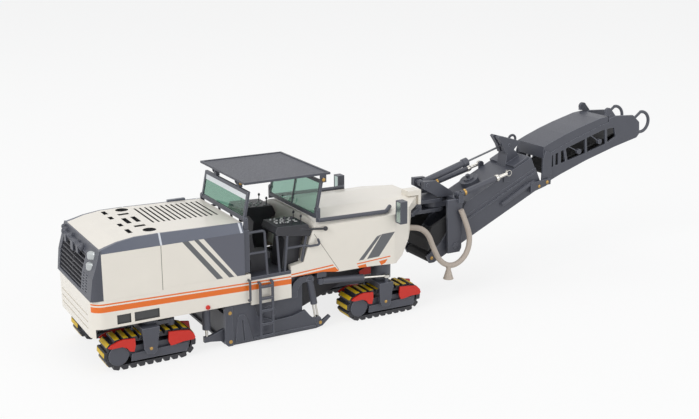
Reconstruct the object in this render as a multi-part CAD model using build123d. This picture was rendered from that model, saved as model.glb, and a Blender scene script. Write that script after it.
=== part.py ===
from build123d import *
from math import cos, pi, radians, sin, tan
import os

# Scale model of a tracked cold milling machine, in millimetres.
# Outlines are written along the machine: x = 0 at the rear crawlers' steering axis, +X to the
# front (towards the discharge conveyor), +Y to the left, z = 0 on the ground. export() then
# shifts every piece so that the row's origin is the middle of the whole model on the ground.

# Overall places along the machine
REAR_FACE_X = -24.0
HOOD_FRONT_X = 40.0
WHEELBASE = 108.5     # between the rear and front steering columns
TANK_FRONT_X = WHEELBASE + 23.5
LOOP_TIP_X = TANK_FRONT_X + 143.4
CENTRE_SHIFT = -(REAR_FACE_X + LOOP_TIP_X) / 2
BODY_HALF_WIDTH = 24.5
WALL = 1.6
PIN_CLEAR = 0.08      # radial, round a pin or a column
LINK_CLEAR = 0.32     # radial, in an eye that drifts a little as its linkage turns
SEAT = 0.02           # between pieces of one body that sit face to face

# Crawlers
TRACK_MID_Y = 18.4
TRACK_WIDTH = 10.0
TRACK_HEIGHT = 13.0
TRACK_CENTRES = 25.0
SHOE_HEIGHT = 1.3
BAND_THICKNESS = 0.7
SHOE_COUNT = 24
SHOE_FILL = 0.8       # share of the pitch that a shoe covers
SHOE_PROFILE = ((0.0, 0.0), (0.06, 0.7), (0.2, 1.0), (0.8, 1.0), (0.94, 0.7), (1.0, 0.0))  # shares of its run, height
TRACK_SETBACK = 1.0   # loop's middle behind the steering column
SPROCKET_SETBACK = 0.9
SPROCKET_RADIUS = 4.0
LEG_THICKNESS = 1.2
LEG_FRONT = 2.2
LEG_BACK = -4.8
FORK_TOP_Z = 16.2
LEG_OUTLINE = ((LEG_BACK, FORK_TOP_Z), (-4.3, 7.4), (-3.2, 5.6), (-0.4, 5.2), (0.8, 6.4), (LEG_FRONT, FORK_TOP_Z))
SIDE_BAR = ((-9.4, 3.2), (13.6, 2.9), (14.6, 4.2), (14.2, 6.7), (-9.0, 6.2))
COLUMN_RADIUS = 3.4
COLUMN_TOP_Z = 25.0
SLEEVE_WALL = 1.0
GUARD_SPAN = (5.8, 6.6)           # inside and outside of a guard, from the track's middle
REAR_GUARD = ((-18.6, 10.6), (-17.2, 11.7), (-14.5, 12.7), (-12.2, 13.1), (-7.7, 12.7), (-7.6, 9.8), (-8.3, 7.3),
              (-10.0, 7.7), (-11.0, 9.2), (-13.0, 10.2), (-17.4, 10.1))
FRONT_GUARD = ((6.2, 12.7), (11.5, 12.3), (15.1, 11.7), (16.8, 10.0), (17.3, 8.4), (16.7, 7.6), (12.2, 7.6),
               (8.3, 6.9), (6.8, 6.9), (5.9, 8.9))
INNER_FRONT_GUARD = ((6.2, 12.0), (13.6, 11.6), (19.4, 10.6), (19.9, 6.8), (16.7, 7.6), (8.3, 6.9), (6.8, 6.9))
LEG_SPAN = (6.2, 7.4)             # inside and outside of a leg, from the track's middle
STEER_ARM_LENGTH = 8.6
STEER_BASE = (WHEELBASE - 32.5, 22.4, 21.6)  # steering cylinder's upright pin: X, distance out, Z
STEER_EYE = (WHEELBASE - 0.6, 24.4, 19.0)    # its rod's eye on the front crawler
STEER_PIN_RADIUS = 0.4
STEER_EYE_CLEAR = 0.45            # the eye drifts a little as the linkage turns
CRAWLERS = (("rear_right", 0.0, -1), ("rear_left", 0.0, 1),
            ("front_right", WHEELBASE, -1), ("front_left", WHEELBASE, 1))  # name, x, side

# Body
FRAME_BOTTOM_Z = 17.0
BEAM_BOTTOM_Z = 23.0
BAND_BOTTOM_Z = 18.6
SKIRT_BOTTOM_Z = 14.8
JOINT_REAR_Z = 29.8
JOINT_FRONT_Z = 31.4
JOINT_STEP_X = (3.2, 6.8)
HOOD_TOP_Z = 53.2
HOOD_SIDE_Z = 48.8
HOOD_TOP_HALF = BODY_HALF_WIDTH - 1.7
PANEL_REAR_X = -19.0
CORNER_RADIUS = 5.0
SKIN_INNER_Y = BODY_HALF_WIDTH - 0.95  # inside of the thin skin that the side plates slide up behind
DECK_Z = 29.2
DECK_THICKNESS = 1.4


def block(x0, x1, y0, y1, z0, z1):
    return Pos((x0 + x1) / 2, (y0 + y1) / 2, (z0 + z1) / 2) * Box(x1 - x0, y1 - y0, z1 - z0)


def side_prism(points, y0, y1):
    """A closed outline in X and Z, run across from y0 to y1."""
    face = Plane.XZ * make_face(Polyline(*points, close=True))
    return Pos(0, y1, 0) * extrude(face, amount=y1 - y0)


def plan_prism(points, z0, z1):
    """A closed outline in X and Y, run up from z0 to z1."""
    return Pos(0, 0, z0) * extrude(make_face(Polyline(*points, close=True)), amount=z1 - z0)


def cross_prism(points, x0, x1):
    """A closed outline in Y and Z, run forward from x0 to x1."""
    return Pos(x0, 0, 0) * extrude(Plane.YZ * make_face(Polyline(*points, close=True)), amount=x1 - x0)


def bar(start, end, radius):
    line = Vector(*end) - Vector(*start)
    return Plane(origin=start, z_dir=line) * Cylinder(
        radius, line.length, align=(Align.CENTER, Align.CENTER, Align.MIN))


def cross_bar(x, z, radius, y0, y1):
    return bar((x, y0, z), (x, y1, z), radius)


def upright(x, y, radius, z0, z1):
    return bar((x, y, z0), (x, y, z1), radius)


def moved(points, x0):
    """The same outline with its X counted from x0."""
    return [(x0 + x, z) for x, z in points]


def span(side, near, far):
    """Y from near to far on one side, the smaller first."""
    return sorted((side * near, side * far))


def bent_tube(points, radii, radius):
    path = FilletPolyline(*points, radius=radii)
    return sweep(Plane(origin=points[0], z_dir=Vector(*points[1]) - Vector(*points[0])) * Circle(radius), path=path)


def both_sides(piece):
    return [piece, mirror(piece, about=Plane.XZ)]


def stadium(half, radius, y0, y1, x, z):
    """A flat-sided roller outline in X and Z, run across Y."""
    face = make_face(Polyline((-half, -radius), (half, -radius), (half, radius), (-half, radius), close=True))
    face = face + Pos(half, 0) * Circle(radius) + Pos(-half, 0) * Circle(radius)
    return Pos(x, y1, z) * extrude(Plane.XZ * face, amount=y1 - y0)


# Crawlers

END_RADIUS = TRACK_HEIGHT / 2
HALF_CENTRES = TRACK_CENTRES / 2
BAND_RADIUS = END_RADIUS - SHOE_HEIGHT
BORE_RADIUS = BAND_RADIUS - BAND_THICKNESS
HALF_TRACK = TRACK_WIDTH / 2


def loop_point(run, out):
    """Point of the loop after a run along the band's outside, moved out by a distance."""
    straight = TRACK_CENTRES
    bend = pi * BAND_RADIUS
    run = run % (2 * (straight + bend))
    radius = BAND_RADIUS + out
    if run < straight:
        return (run - HALF_CENTRES, -radius)
    if run < straight + bend:
        turn = (run - straight) / BAND_RADIUS
        return (HALF_CENTRES + radius * sin(turn), -radius * cos(turn))
    if run < 2 * straight + bend:
        return (HALF_CENTRES - (run - straight - bend), radius)
    turn = (run - 2 * straight - bend) / BAND_RADIUS
    return (-HALF_CENTRES - radius * sin(turn), radius * cos(turn))


def track_loop():
    """One closed loop with its shoes in outline, centred on its own middle."""
    pitch = 2 * (TRACK_CENTRES + pi * BAND_RADIUS) / SHOE_COUNT
    outline = []
    for shoe in range(SHOE_COUNT):
        start = (shoe + (1 - SHOE_FILL) / 2) * pitch
        for run, height in SHOE_PROFILE:
            outline.append(loop_point(start + run * SHOE_FILL * pitch, height * SHOE_HEIGHT))
    loop = Pos(0, HALF_TRACK, 0) * extrude(
        Plane.XZ * make_face(Polyline(*outline, close=True)), amount=TRACK_WIDTH)
    return loop - stadium(HALF_CENTRES, BORE_RADIUS, -TRACK_WIDTH, TRACK_WIDTH, 0, 0)


def crawler_frame():
    """Bar, sprocket disc, idler, rollers, fork and column of one crawler, centred on its column."""
    mid = END_RADIUS
    inner = HALF_TRACK - 0.6
    outer_leg = LEG_SPAN[0]
    rear, front = -HALF_CENTRES - TRACK_SETBACK, HALF_CENTRES - TRACK_SETBACK
    frame = block(rear + 2, front - 2, -inner, inner, mid - 1.6, mid + 1.6)
    frame += block(-9.0, 8.0, -inner, inner, mid - 2.6, mid + 2.4)
    frame += cross_bar(rear - SPROCKET_SETBACK, mid, BORE_RADIUS - SPROCKET_SETBACK - 0.2, -HALF_TRACK - 0.1,
                       HALF_TRACK + 0.1)
    frame += cross_bar(front, mid, BORE_RADIUS - 0.3, -inner, inner)
    frame += cross_bar(front + 0.6, mid - 0.6, 1.7, -HALF_TRACK - 0.2, HALF_TRACK + 0.2)
    for place in (-7.0, -3.4, 0.2, 3.8, 7.4):
        frame += cross_bar(place, mid - 2.9, 1.2, -inner, inner)
    for way in (-1, 1):
        frame += cross_bar(rear - SPROCKET_SETBACK, mid - 0.1, SPROCKET_RADIUS,
                           *span(way, HALF_TRACK + 0.1, GUARD_SPAN[0] - 0.1))
        frame += side_prism(SIDE_BAR, *span(way, HALF_TRACK + 0.1, HALF_TRACK + 0.7))
        frame += side_prism(LEG_OUTLINE, *span(way, *LEG_SPAN))
        frame += block(LEG_BACK + 1.2, LEG_FRONT - 1.4, *span(way, inner, outer_leg), mid - 0.2, mid + 2.2)
        frame += block(-8.0, 8.0, *span(way, inner, HALF_TRACK + 0.1), mid - 2.2, mid - 0.4)
        frame += block(LEG_BACK, LEG_FRONT, *span(way, HALF_TRACK + 0.3, LEG_SPAN[1]), TRACK_HEIGHT + 0.5, FORK_TOP_Z)
    frame += block(LEG_BACK, LEG_FRONT, -outer_leg, outer_leg, TRACK_HEIGHT + 0.9, FORK_TOP_Z)
    frame += upright(0, 0, COLUMN_RADIUS, FORK_TOP_Z - 1, COLUMN_TOP_Z)
    return frame


def ball_arm(side):
    """Short forward arm with its ring end, on the rear crawlers."""
    arm_y = side * 2.0
    arm = block(0, STEER_ARM_LENGTH, arm_y - 1.2, arm_y + 1.2, FORK_TOP_Z - 1.0, FORK_TOP_Z + 0.5)
    arm += upright(STEER_ARM_LENGTH, arm_y, 1.6, FORK_TOP_Z - 2.0, FORK_TOP_Z + 0.7)
    return arm - upright(STEER_ARM_LENGTH, arm_y, 0.7, FORK_TOP_Z, FORK_TOP_Z + 1.0)


def steering_arm(side):
    """Boss and pin that take the steering cylinder's eye, on the front crawlers."""
    x = STEER_EYE[0] - WHEELBASE
    y = side * (STEER_EYE[1] - TRACK_MID_Y)
    boss = upright(x, y, 0.9, FORK_TOP_Z - 1.0, STEER_EYE[2] - 0.95)
    return boss + upright(x, y, STEER_PIN_RADIUS, FORK_TOP_Z, STEER_EYE[2] + 1.0)


def track_guards(side):
    """The four red covers over the track's shoulders: plates beside the track."""
    guards = []
    for outline, way in ((REAR_GUARD, 1), (FRONT_GUARD, 1), (REAR_GUARD, -1), (INNER_FRONT_GUARD, -1)):
        guards.append(side_prism(outline, *span(side * way, *GUARD_SPAN)))
    return guards


# Chassis

def joint_line(z_shift=0.0):
    """The seam between the lower body and the engine cover, rear to front."""
    return [(REAR_FACE_X - 1, JOINT_REAR_Z + 0.4 + z_shift), (JOINT_STEP_X[0], JOINT_REAR_Z + z_shift),
            (JOINT_STEP_X[1], JOINT_FRONT_Z + z_shift), (HOOD_FRONT_X, JOINT_FRONT_Z - 0.6 + z_shift)]


def rounded_plan(x0, x1, half, radius, z0, z1):
    """A block whose two rear corners are rounded in plan."""
    piece = block(x0, x1, -half, half, z0, z1)
    corners = piece.edges().filter_by(Axis.Z).group_by(Axis.X)[0]
    return fillet(corners, radius)


def body_shell():
    shell = rounded_plan(REAR_FACE_X, HOOD_FRONT_X + 2.5, BODY_HALF_WIDTH, CORNER_RADIUS, BAND_BOTTOM_Z, 34.0)
    line = joint_line(-SEAT)
    shell &= side_prism([(REAR_FACE_X - 1, 0), *line, (HOOD_FRONT_X + 3, JOINT_FRONT_Z - 0.6), (HOOD_FRONT_X + 3, 0)],
                        -30, 30)
    shell -= rounded_plan(REAR_FACE_X + WALL, HOOD_FRONT_X + 2.5 - WALL, BODY_HALF_WIDTH - WALL,
                          CORNER_RADIUS - WALL, 0, 27.5)
    shell -= block(29.0, HOOD_FRONT_X + 5, -SKIN_INNER_Y, SKIN_INNER_Y, 0, 27.5)
    skirt = rounded_plan(REAR_FACE_X, 0, BODY_HALF_WIDTH, CORNER_RADIUS, SKIRT_BOTTOM_Z, BAND_BOTTOM_Z + 0.5)
    skirt -= block(REAR_FACE_X + WALL, 10, -30, 30, 0, 40)
    shell += skirt
    for groove in (17.6, 20.4, 23.2):
        shell -= block(REAR_FACE_X - 1, REAR_FACE_X + 0.5, -18.5, 18.5, groove, groove + 0.5)
    for x0, x1 in ((-14.2, -8.6), (-7.2, 3.0)):
        for side in both_sides(block(x0, x1, BODY_HALF_WIDTH - 0.7, BODY_HALF_WIDTH + 1, 19.6, 23.4)):
            shell -= side
    sills = both_sides(block(HOOD_FRONT_X + 2.5 + SEAT, 61.0, -BODY_HALF_WIDTH, -SKIN_INNER_Y, 17.2,
                             DECK_Z - DECK_THICKNESS - SEAT))
    return [shell, *sills]


HOOD_SLOTS = (  # x, y, length, width
    (-4.6, 17.0, 1.8, 5.2), (-4.6, 8.2, 1.8, 4.2), (-4.5, -3.6, 1.8, 4.2), (-4.4, -13.6, 1.8, 5.8),
    (1.6, 11.2, 4.6, 2.4), (-0.4, 1.0, 2.0, 8.6), (3.6, 1.4, 2.0, 8.6), (1.9, -8.6, 4.6, 2.4))
HOOD_PORTS = ((3.1, 18.0), (3.4, -15.8))  # middles of the round ports, x and y
HOOD_PORT_RADIUS = 2.7
LOUVRE_COUNT = 13
LOUVRE_START_X = 8.0
LOUVRE_PITCH = 2.3
LOUVRE_SPAN = (-6.8, 17.8)


def hood_outer():
    """The engine cover's outside, before its grey edges are parted from it."""
    profile = [(PANEL_REAR_X, 20), (PANEL_REAR_X, 50.2), (-12, 52.2), (-5, HOOD_TOP_Z), (4, HOOD_TOP_Z + 0.1),
               (HOOD_FRONT_X, HOOD_TOP_Z - 0.6), (HOOD_FRONT_X, 20)]
    lean = (60 - HOOD_SIDE_Z) * (BODY_HALF_WIDTH - HOOD_TOP_HALF) / (HOOD_TOP_Z - HOOD_SIDE_Z)
    section = [(-BODY_HALF_WIDTH, 20), (BODY_HALF_WIDTH, 20), (BODY_HALF_WIDTH, HOOD_SIDE_Z),
               (BODY_HALF_WIDTH - lean, 60), (lean - BODY_HALF_WIDTH, 60), (-BODY_HALF_WIDTH, HOOD_SIDE_Z)]
    hood = side_prism(profile, -30, 30) & cross_prism(section, PANEL_REAR_X - 1, HOOD_FRONT_X + 1)
    under = side_prism([(REAR_FACE_X - 1, 0), *joint_line(), (HOOD_FRONT_X + 3, JOINT_FRONT_Z - 0.6),
                        (HOOD_FRONT_X + 3, 0)], -30, 30)
    return hood - under


def edge_region(inset):
    """Where the sloping grey edge bands run along both sides of the engine cover."""
    region = []
    for side in (-1, 1):
        y_low, y_high = BODY_HALF_WIDTH - WALL + inset, HOOD_TOP_HALF - 0.9 + inset
        z_low = HOOD_SIDE_Z + inset
        region.append(cross_prism([(side * y_low, z_low), (side * 30, z_low), (side * 30, 60),
                                   (side * y_high, 60), (side * y_high, HOOD_SIDE_Z + 2)], -30, HOOD_FRONT_X + 2))
    return region


def engine_hood():
    hood = hood_outer()
    for region in edge_region(-SEAT):
        hood -= region
    hood -= block(PANEL_REAR_X + WALL, HOOD_FRONT_X - WALL, -BODY_HALF_WIDTH + WALL + 1,
                  BODY_HALF_WIDTH - WALL - 1, 0, HOOD_SIDE_Z - 1)
    for x, y, length, width in HOOD_SLOTS:
        hood -= block(x - length / 2, x + length / 2, y - width / 2, y + width / 2, HOOD_TOP_Z - 1.4, 60)
    for x, y in HOOD_PORTS:
        hood -= upright(x, y, HOOD_PORT_RADIUS, HOOD_TOP_Z - 1.2, 60)
    for index in range(LOUVRE_COUNT):
        x = LOUVRE_START_X + index * LOUVRE_PITCH
        hood -= block(x, x + 0.9, *LOUVRE_SPAN, HOOD_TOP_Z - 1.2, 60)
    return [hood]


def hood_edge_bands():
    """The grey bands, and the low box on the left one."""
    hood = hood_outer()
    right, left = [hood & region for region in edge_region(0.0)]
    left += block(25.0, 33.0, HOOD_TOP_HALF - 0.6, HOOD_TOP_HALF + 1.0, HOOD_TOP_Z - 1.6, HOOD_TOP_Z + 0.4)
    return [right, left]


REAR_WALL_LINE = ((REAR_FACE_X, JOINT_REAR_Z + 0.4), (-22.9, 39.0), (-20.6, 46.4),
                  (PANEL_REAR_X - 0.6, 50.2))  # outside of the sloping rear wall, from below


def rear_wall():
    front = PANEL_REAR_X - SEAT
    wall = side_prism([*REAR_WALL_LINE, (front, REAR_WALL_LINE[-1][1]), (front, REAR_WALL_LINE[0][1])],
                      -BODY_HALF_WIDTH, BODY_HALF_WIDTH)
    return wall & rounded_plan(REAR_FACE_X - 2, 0, BODY_HALF_WIDTH, CORNER_RADIUS, 0, 60)


GRILLE_RIGHT_Y = -10.5
GRILLE_LEFT_Y = 21.0
GRILLE_Z = (31.6, 45.6)
SLAT_COUNT = 8
VENT_ROWS = 7
PIPE_Z = 46.8
REAR_LUMPS = (  # y, z, radius
    (18.4, 47.5, 1.8), (9.8, 47.6, 1.5), (0.6, 47.2, 1.3), (21.4, 48.6, 1.2), (-6.0, 47.2, 1.5))
LAMPS = ((-20.4, -18.4, 47.0), (-21.2, -18.8, 42.9))  # x, y, z of the two rounded lamps on the rear right corner


def rear_frame():
    """Wall with its vents, and the dark pipes and lumps over the grille."""
    wall = rear_wall()
    wall -= block(-30, PANEL_REAR_X + 1, GRILLE_RIGHT_Y, GRILLE_LEFT_Y, *GRILLE_Z)
    for column in range(2):
        for row in range(VENT_ROWS):
            y = -13.2 - column * 3.8
            z = GRILLE_Z[0] + 0.6 + row * 1.1
            wall -= block(-30, rear_wall_x(z) + 0.5, y - 1.1, y + 1.1, z, z + 0.55)
    x = rear_wall_x(PIPE_Z) - 0.4
    wall += cross_bar(x, PIPE_Z, 1.0, -6.0, 18.0)
    for y, z, radius in REAR_LUMPS:
        wall += Pos(rear_wall_x(z) - 0.5, y, z) * Rot(0, 90, 0) * Sphere(radius)
    for y0, y1, drop in ((-4.2, -1.4, 2.6), (3.0, 6.4, 3.4), (13.0, 15.4, 2.2)):
        wall += block(x - 1.5, x - 0.6, y0, y1, PIPE_Z - drop, PIPE_Z + 0.4)
    return [wall]


def rear_wall_x(z):
    """Outside of the sloping rear wall at a height."""
    for (x0, z0), (x1, z1) in zip(REAR_WALL_LINE, REAR_WALL_LINE[1:]):
        if z <= z1:
            return x0 + (x1 - x0) * (z - z0) / (z1 - z0)
    return REAR_WALL_LINE[-1][0]


def radiator_grille():
    y0, y1 = GRILLE_RIGHT_Y + SEAT, GRILLE_LEFT_Y - SEAT
    low, high = GRILLE_Z[0] + SEAT, GRILLE_Z[1] - SEAT
    grille = block(PANEL_REAR_X - 0.6, PANEL_REAR_X - 0.1, y0, y1, low, high)
    for row in range(SLAT_COUNT):
        z = low + 0.6 + row * (high - low - 1.6) / (SLAT_COUNT - 1)
        x = rear_wall_x(z) + 0.3
        grille += side_prism([(x, z), (x + 1.5, z + 0.3), (x + 1.5, z + 0.8), (x, z + 0.5)], y0, y1)
    inset = [(rear_wall_x(z) + 0.9, z) for z in (low, REAR_WALL_LINE[1][1], high)]
    for y in (y0 + 0.4, (y0 + y1) / 2, y1 - 0.4):
        grille += side_prism([*inset, (PANEL_REAR_X - 0.4, high), (PANEL_REAR_X - 0.4, low)], y - 0.4, y + 0.4)
    return [grille]


def rear_lamps():
    wall = rear_wall() + block(PANEL_REAR_X - SEAT, 0, -30, 30, 30, 60)
    lens = Box(3.0, 4.2, 3.4)
    lens = fillet(lens.edges(), 1.1)
    return [Pos(x, y, z) * Rot(0, 0, 40) * lens - wall for x, y, z in LAMPS]


def main_frame():
    frame = block(REAR_FACE_X + 3, 31.0, -16.0, 16.0, FRAME_BOTTOM_Z + 2, 27.4)
    for x in (0.0, WHEELBASE):
        for side in (-1, 1):
            frame += upright(x, side * TRACK_MID_Y, COLUMN_RADIUS + SLEEVE_WALL, FRAME_BOTTOM_Z, COLUMN_TOP_Z + 1.2)
    frame += block(-4, 4, -TRACK_MID_Y, TRACK_MID_Y, FRAME_BOTTOM_Z, 26.2)
    for side in (-1, 1):
        y = side * 14.0
        frame += block(28.0, WHEELBASE + 4, y - 2.5, y + 2.5, BEAM_BOTTOM_Z, 27.4)
    frame += block(WHEELBASE - 4, WHEELBASE + 4, -TRACK_MID_Y, TRACK_MID_Y, 23.4, 26.2)
    frame -= block(WHEELBASE - 5, WHEELBASE + 5, -9.0, 9.0, 0, 30)
    for name, x, side in CRAWLERS:
        frame -= upright(x, side * TRACK_MID_Y, COLUMN_RADIUS + PIN_CLEAR, 0, COLUMN_TOP_Z + 0.3)
    x, y, z = STEER_BASE
    bracket = block(x - 2.2, x + 2.2, 16.0, y + 1.0, z + 1.8, z + 4.0) + upright(x, y, 0.7, z - 1.6, z + 2.0)
    for piece in both_sides(bracket):
        frame += piece
    return [frame]


# Milling unit

DRUM_X = 52.0
DRUM_Z = 11.2
DRUM_RADIUS = 8.2
PICK_TIP_RADIUS = 10.2
PICK_ROWS = 14
PICKS_PER_ROW = 5
HOUSING_HALF = BODY_HALF_WIDTH - 3.1
DRUM_HALF = HOUSING_HALF - 1.8
HOUSING_REAR_X = 37.0
HOUSING_FRONT_X = 67.5
PLATE_INNER_Y = HOUSING_HALF + 0.3
PLATE_THICKNESS = 1.2
PLATE_RIB = 0.5
PLATE_BOTTOM_Z = 0.5
LIFT_TOP = (70.7, 23.2)      # side plate's lift cylinder, X and Z of its upper pin
LIFT_FOOT = (74.4, 2.4)      # its lower pin, on the plate
LIFT_RADIUS = 1.5
LIFT_ROD_RADIUS = 0.45
LIFT_ROD_GAP = 1.3
LIFT_CLEVIS = 3.4
LIFT_BARREL_START = 9.6     # along the cylinder from its lower pin
PLATE_TRAVEL = 6.0
BLADE_X = 32.4
BLADE_BOTTOM_Z = 0.8
BLADE_CYLINDER = (24.0, HOUSING_HALF - 1.2)  # moldboard cylinder, X and distance from the middle


def drum_housing():
    housing = block(HOUSING_REAR_X, HOUSING_FRONT_X, -HOUSING_HALF, HOUSING_HALF, 6.0, 26.8)
    housing -= cross_bar(DRUM_X, DRUM_Z, PICK_TIP_RADIUS + 1.2, -HOUSING_HALF + 1.2, HOUSING_HALF - 1.2)
    housing -= block(DRUM_X - PICK_TIP_RADIUS - 1.2, DRUM_X + PICK_TIP_RADIUS + 1.2,
                     -HOUSING_HALF + 1.2, HOUSING_HALF - 1.2, 0, DRUM_Z)
    housing -= block(DRUM_X, HOUSING_FRONT_X + 1, -9.2, 9.2, 0, 18.0)
    housing -= cross_bar(DRUM_X, DRUM_Z, 3.0 + PIN_CLEAR, -40, 40)
    for y in (-14.0, 14.0):
        housing -= block(HOUSING_REAR_X - 1, HOUSING_FRONT_X + 1, y - 2.5 - SEAT, y + 2.5 + SEAT,
                         BEAM_BOTTOM_Z - SEAT, 30)
    return [housing]


def milling_drum():
    drum = cross_bar(DRUM_X, DRUM_Z, DRUM_RADIUS, -DRUM_HALF, DRUM_HALF)
    drum += cross_bar(DRUM_X, DRUM_Z, 3.0, -HOUSING_HALF, HOUSING_HALF)
    reach = PICK_TIP_RADIUS - DRUM_RADIUS + 1.0
    for row in range(PICK_ROWS):
        y = -DRUM_HALF + 1.2 + row * (2 * DRUM_HALF - 2.4) / (PICK_ROWS - 1)
        side = -1 if y < 0 else 1
        for pick in range(PICKS_PER_ROW):
            turn = pick * 360 / PICKS_PER_ROW + side * row * 17
            holder = Rot(0, turn, 0) * Pos(DRUM_RADIUS - 1.0 + reach / 2, 0, 0) * Box(reach, 1.3, 1.3)
            drum += Pos(DRUM_X, y, DRUM_Z) * holder
    return [drum]


def plate_slide_direction():
    along = Vector(LIFT_TOP[0] - LIFT_FOOT[0], 0, LIFT_TOP[1] - LIFT_FOOT[1])
    return along.normalized()


def side_plate():
    """The right-hand side plate with its rear column, ribs and ski, at negative Y."""
    low = PLATE_BOTTOM_Z
    outline = [(31.0, low + 1.2), (32.2, low), (73.4, low), (76.6, 1.2), (80.6, 4.6), (79.8, 5.5), (76.4, 3.4),
               (75.6, 5.2), (72.2, 5.4), (70.6, 6.8), (68.2, 9.8), (62.0, 8.2), (54.0, 7.8), (46.0, 11.0),
               (44.0, 17.6), (42.6, 18.4), (32.0, 18.4), (31.0, 17.4)]
    outer = -PLATE_INNER_Y - PLATE_THICKNESS
    plate = side_prism(outline, outer, -PLATE_INNER_Y)
    plate += side_prism([(31.0, low + 1.2), (32.2, low), (34.4, low), (34.4, 17.4), (33.4, 18.2), (32.0, 18.2),
                         (31.0, 17.4)], outer - PLATE_RIB, outer)
    panel = side_prism([(35.6, 1.4), (36.8, 12.4), (37.8, 13.4), (39.4, 13.2), (40.4, 12.2), (43.4, 1.4)],
                       outer - PLATE_RIB, outer)
    plate += panel - side_prism([(39.0, 1.8), (39.9, 1.8), (39.2, 11.0), (38.3, 11.0)], outer - 1, outer)
    plate += side_prism([(44.0, 1.4), (73.0, 1.4), (73.0, 2.2), (44.0, 2.2)], outer - PLATE_RIB, outer)
    plate += cross_bar(LIFT_FOOT[0], LIFT_FOOT[1], 1.1, outer - PLATE_RIB, outer)
    foot = Vector(LIFT_FOOT[0], -PLATE_INNER_Y - PLATE_THICKNESS / 2, LIFT_FOOT[1])
    plate += bar(tuple(foot), tuple(foot + plate_slide_direction() * LIFT_CLEVIS), 1.2)
    return plate


def lift_rods():
    """Twin rods of the right-hand side plate's lift cylinder, on the plate."""
    y = -PLATE_INNER_Y - PLATE_THICKNESS / 2
    foot = Vector(LIFT_FOOT[0], y, LIFT_FOOT[1])
    along = plate_slide_direction()
    across = Vector(along.Z, 0, -along.X)
    base = foot + along * (LIFT_CLEVIS + SEAT)
    rods = []
    for offset in (-LIFT_ROD_GAP / 2, LIFT_ROD_GAP / 2):
        start = base + across * offset
        end = start + along * (LIFT_BARREL_START - LIFT_CLEVIS + 4.8)
        rods.append(bar(tuple(start), tuple(end), LIFT_ROD_RADIUS))
    return rods


def lift_barrel():
    """Barrel of the right-hand side plate's lift cylinder, on the chassis."""
    y = -PLATE_INNER_Y - PLATE_THICKNESS / 2
    top = Vector(LIFT_TOP[0], y, LIFT_TOP[1])
    foot = Vector(LIFT_FOOT[0], y, LIFT_FOOT[1])
    along = plate_slide_direction()
    across = Vector(along.Z, 0, -along.X)
    start = foot + along * LIFT_BARREL_START
    barrel = bar(tuple(start), tuple(top), LIFT_RADIUS)
    barrel += cross_bar(top.X, top.Z, 1.7, y - 0.9, y + 0.9)
    for offset in (-LIFT_ROD_GAP / 2, LIFT_ROD_GAP / 2):
        hole = start + across * offset - along
        barrel -= bar(tuple(hole), tuple(hole + along * (PLATE_TRAVEL + 6.0)), LIFT_ROD_RADIUS + PIN_CLEAR)
    arch = side_prism([(61.6, 16.4), (61.4, 19.6), (62.8, 22.8), (65.6, 24.9), (70.0, 24.9), (71.6, 24.0),
                       (70.8, 22.4), (67.4, 22.4), (65.4, 21.0), (64.6, 19.0), (64.4, 16.4)], y - 0.8, y + 0.8)
    return [barrel + arch]


def moldboard():
    half = HOUSING_HALF - 0.4
    blade = block(BLADE_X - 0.8, BLADE_X + 0.8, -half, half, BLADE_BOTTOM_Z, 14.0)
    x, y = BLADE_CYLINDER
    for side in (-1, 1):
        blade += side_prism([(x - 1.3, 3.2), (x + 1.3, 3.2), (BLADE_X, 2.2), (BLADE_X, 8.0), (x + 1.3, 5.6),
                             (x - 1.3, 5.6)], side * y - 0.8, side * y + 0.8)
    blade += block(BLADE_X - 1.8, BLADE_X - 0.8, -half, half, BLADE_BOTTOM_Z + 1, BLADE_BOTTOM_Z + 2)
    return [blade]


def moldboard_rods():
    x, y = BLADE_CYLINDER
    return both_sides(upright(x, -y, 0.6, 5.6 + SEAT, 15.0))


def moldboard_cylinders():
    x, y = BLADE_CYLINDER
    barrels = []
    for side in (-1, 1):
        barrel = upright(x, side * y, 1.7, 8.8, FRAME_BOTTOM_Z + 3)
        barrel += block(x - 2.4, x + 2.4, side * y - 2.2, side * y + 2.2, FRAME_BOTTOM_Z + 1.6, FRAME_BOTTOM_Z + 9)
        barrel -= upright(x, side * y, 0.6 + PIN_CLEAR, 0, 23.0)
        barrels.append(barrel)
    return barrels


def primary_conveyor():
    """Closed trough from the drum housing up to the front."""
    mouth = moved([(-10.0, 25.0), (-2.4, 30.4), (-2.4, 36.6), (-12.0, 36.6)], TANK_FRONT_X)
    trough = side_prism([(64.0, 5.0), (70.0, 4.2), *mouth, (64.0, 14.6)], -8.8, 8.8)
    trough -= side_prism(moved([(-14.0, 0), (3.0, 0), (3.0, 34.4), (-11.0, 34.4), (-11.0, 28.0)], TANK_FRONT_X),
                         -7.4, 7.4)
    trough -= cross_bar(DRUM_X, DRUM_Z, PICK_TIP_RADIUS + 1.4, -40, 40)
    return [trough]


# Operator's platform

RAIL_Y = -BODY_HALF_WIDTH + 0.8
BULKHEAD_HALF = BODY_HALF_WIDTH - 0.3
CONSOLE_INNER_Y = 10.4
CONSOLE_OUTER_Y = 20.8
TRAY_OUTER_Y = BODY_HALF_WIDTH - 0.3
REAR_PIVOT = (41.4, 54.0)      # canopy's rear arms
FRONT_PIVOT = (74.6, 53.6)     # its front arms
CANOPY_PIN_RADIUS = 0.5
SCREEN_HALF = BODY_HALF_WIDTH - 1.9
PIVOT_PLATE = (SCREEN_HALF + 0.25, SCREEN_HALF + 0.95)  # Y span of the plates outside the screens


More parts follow.
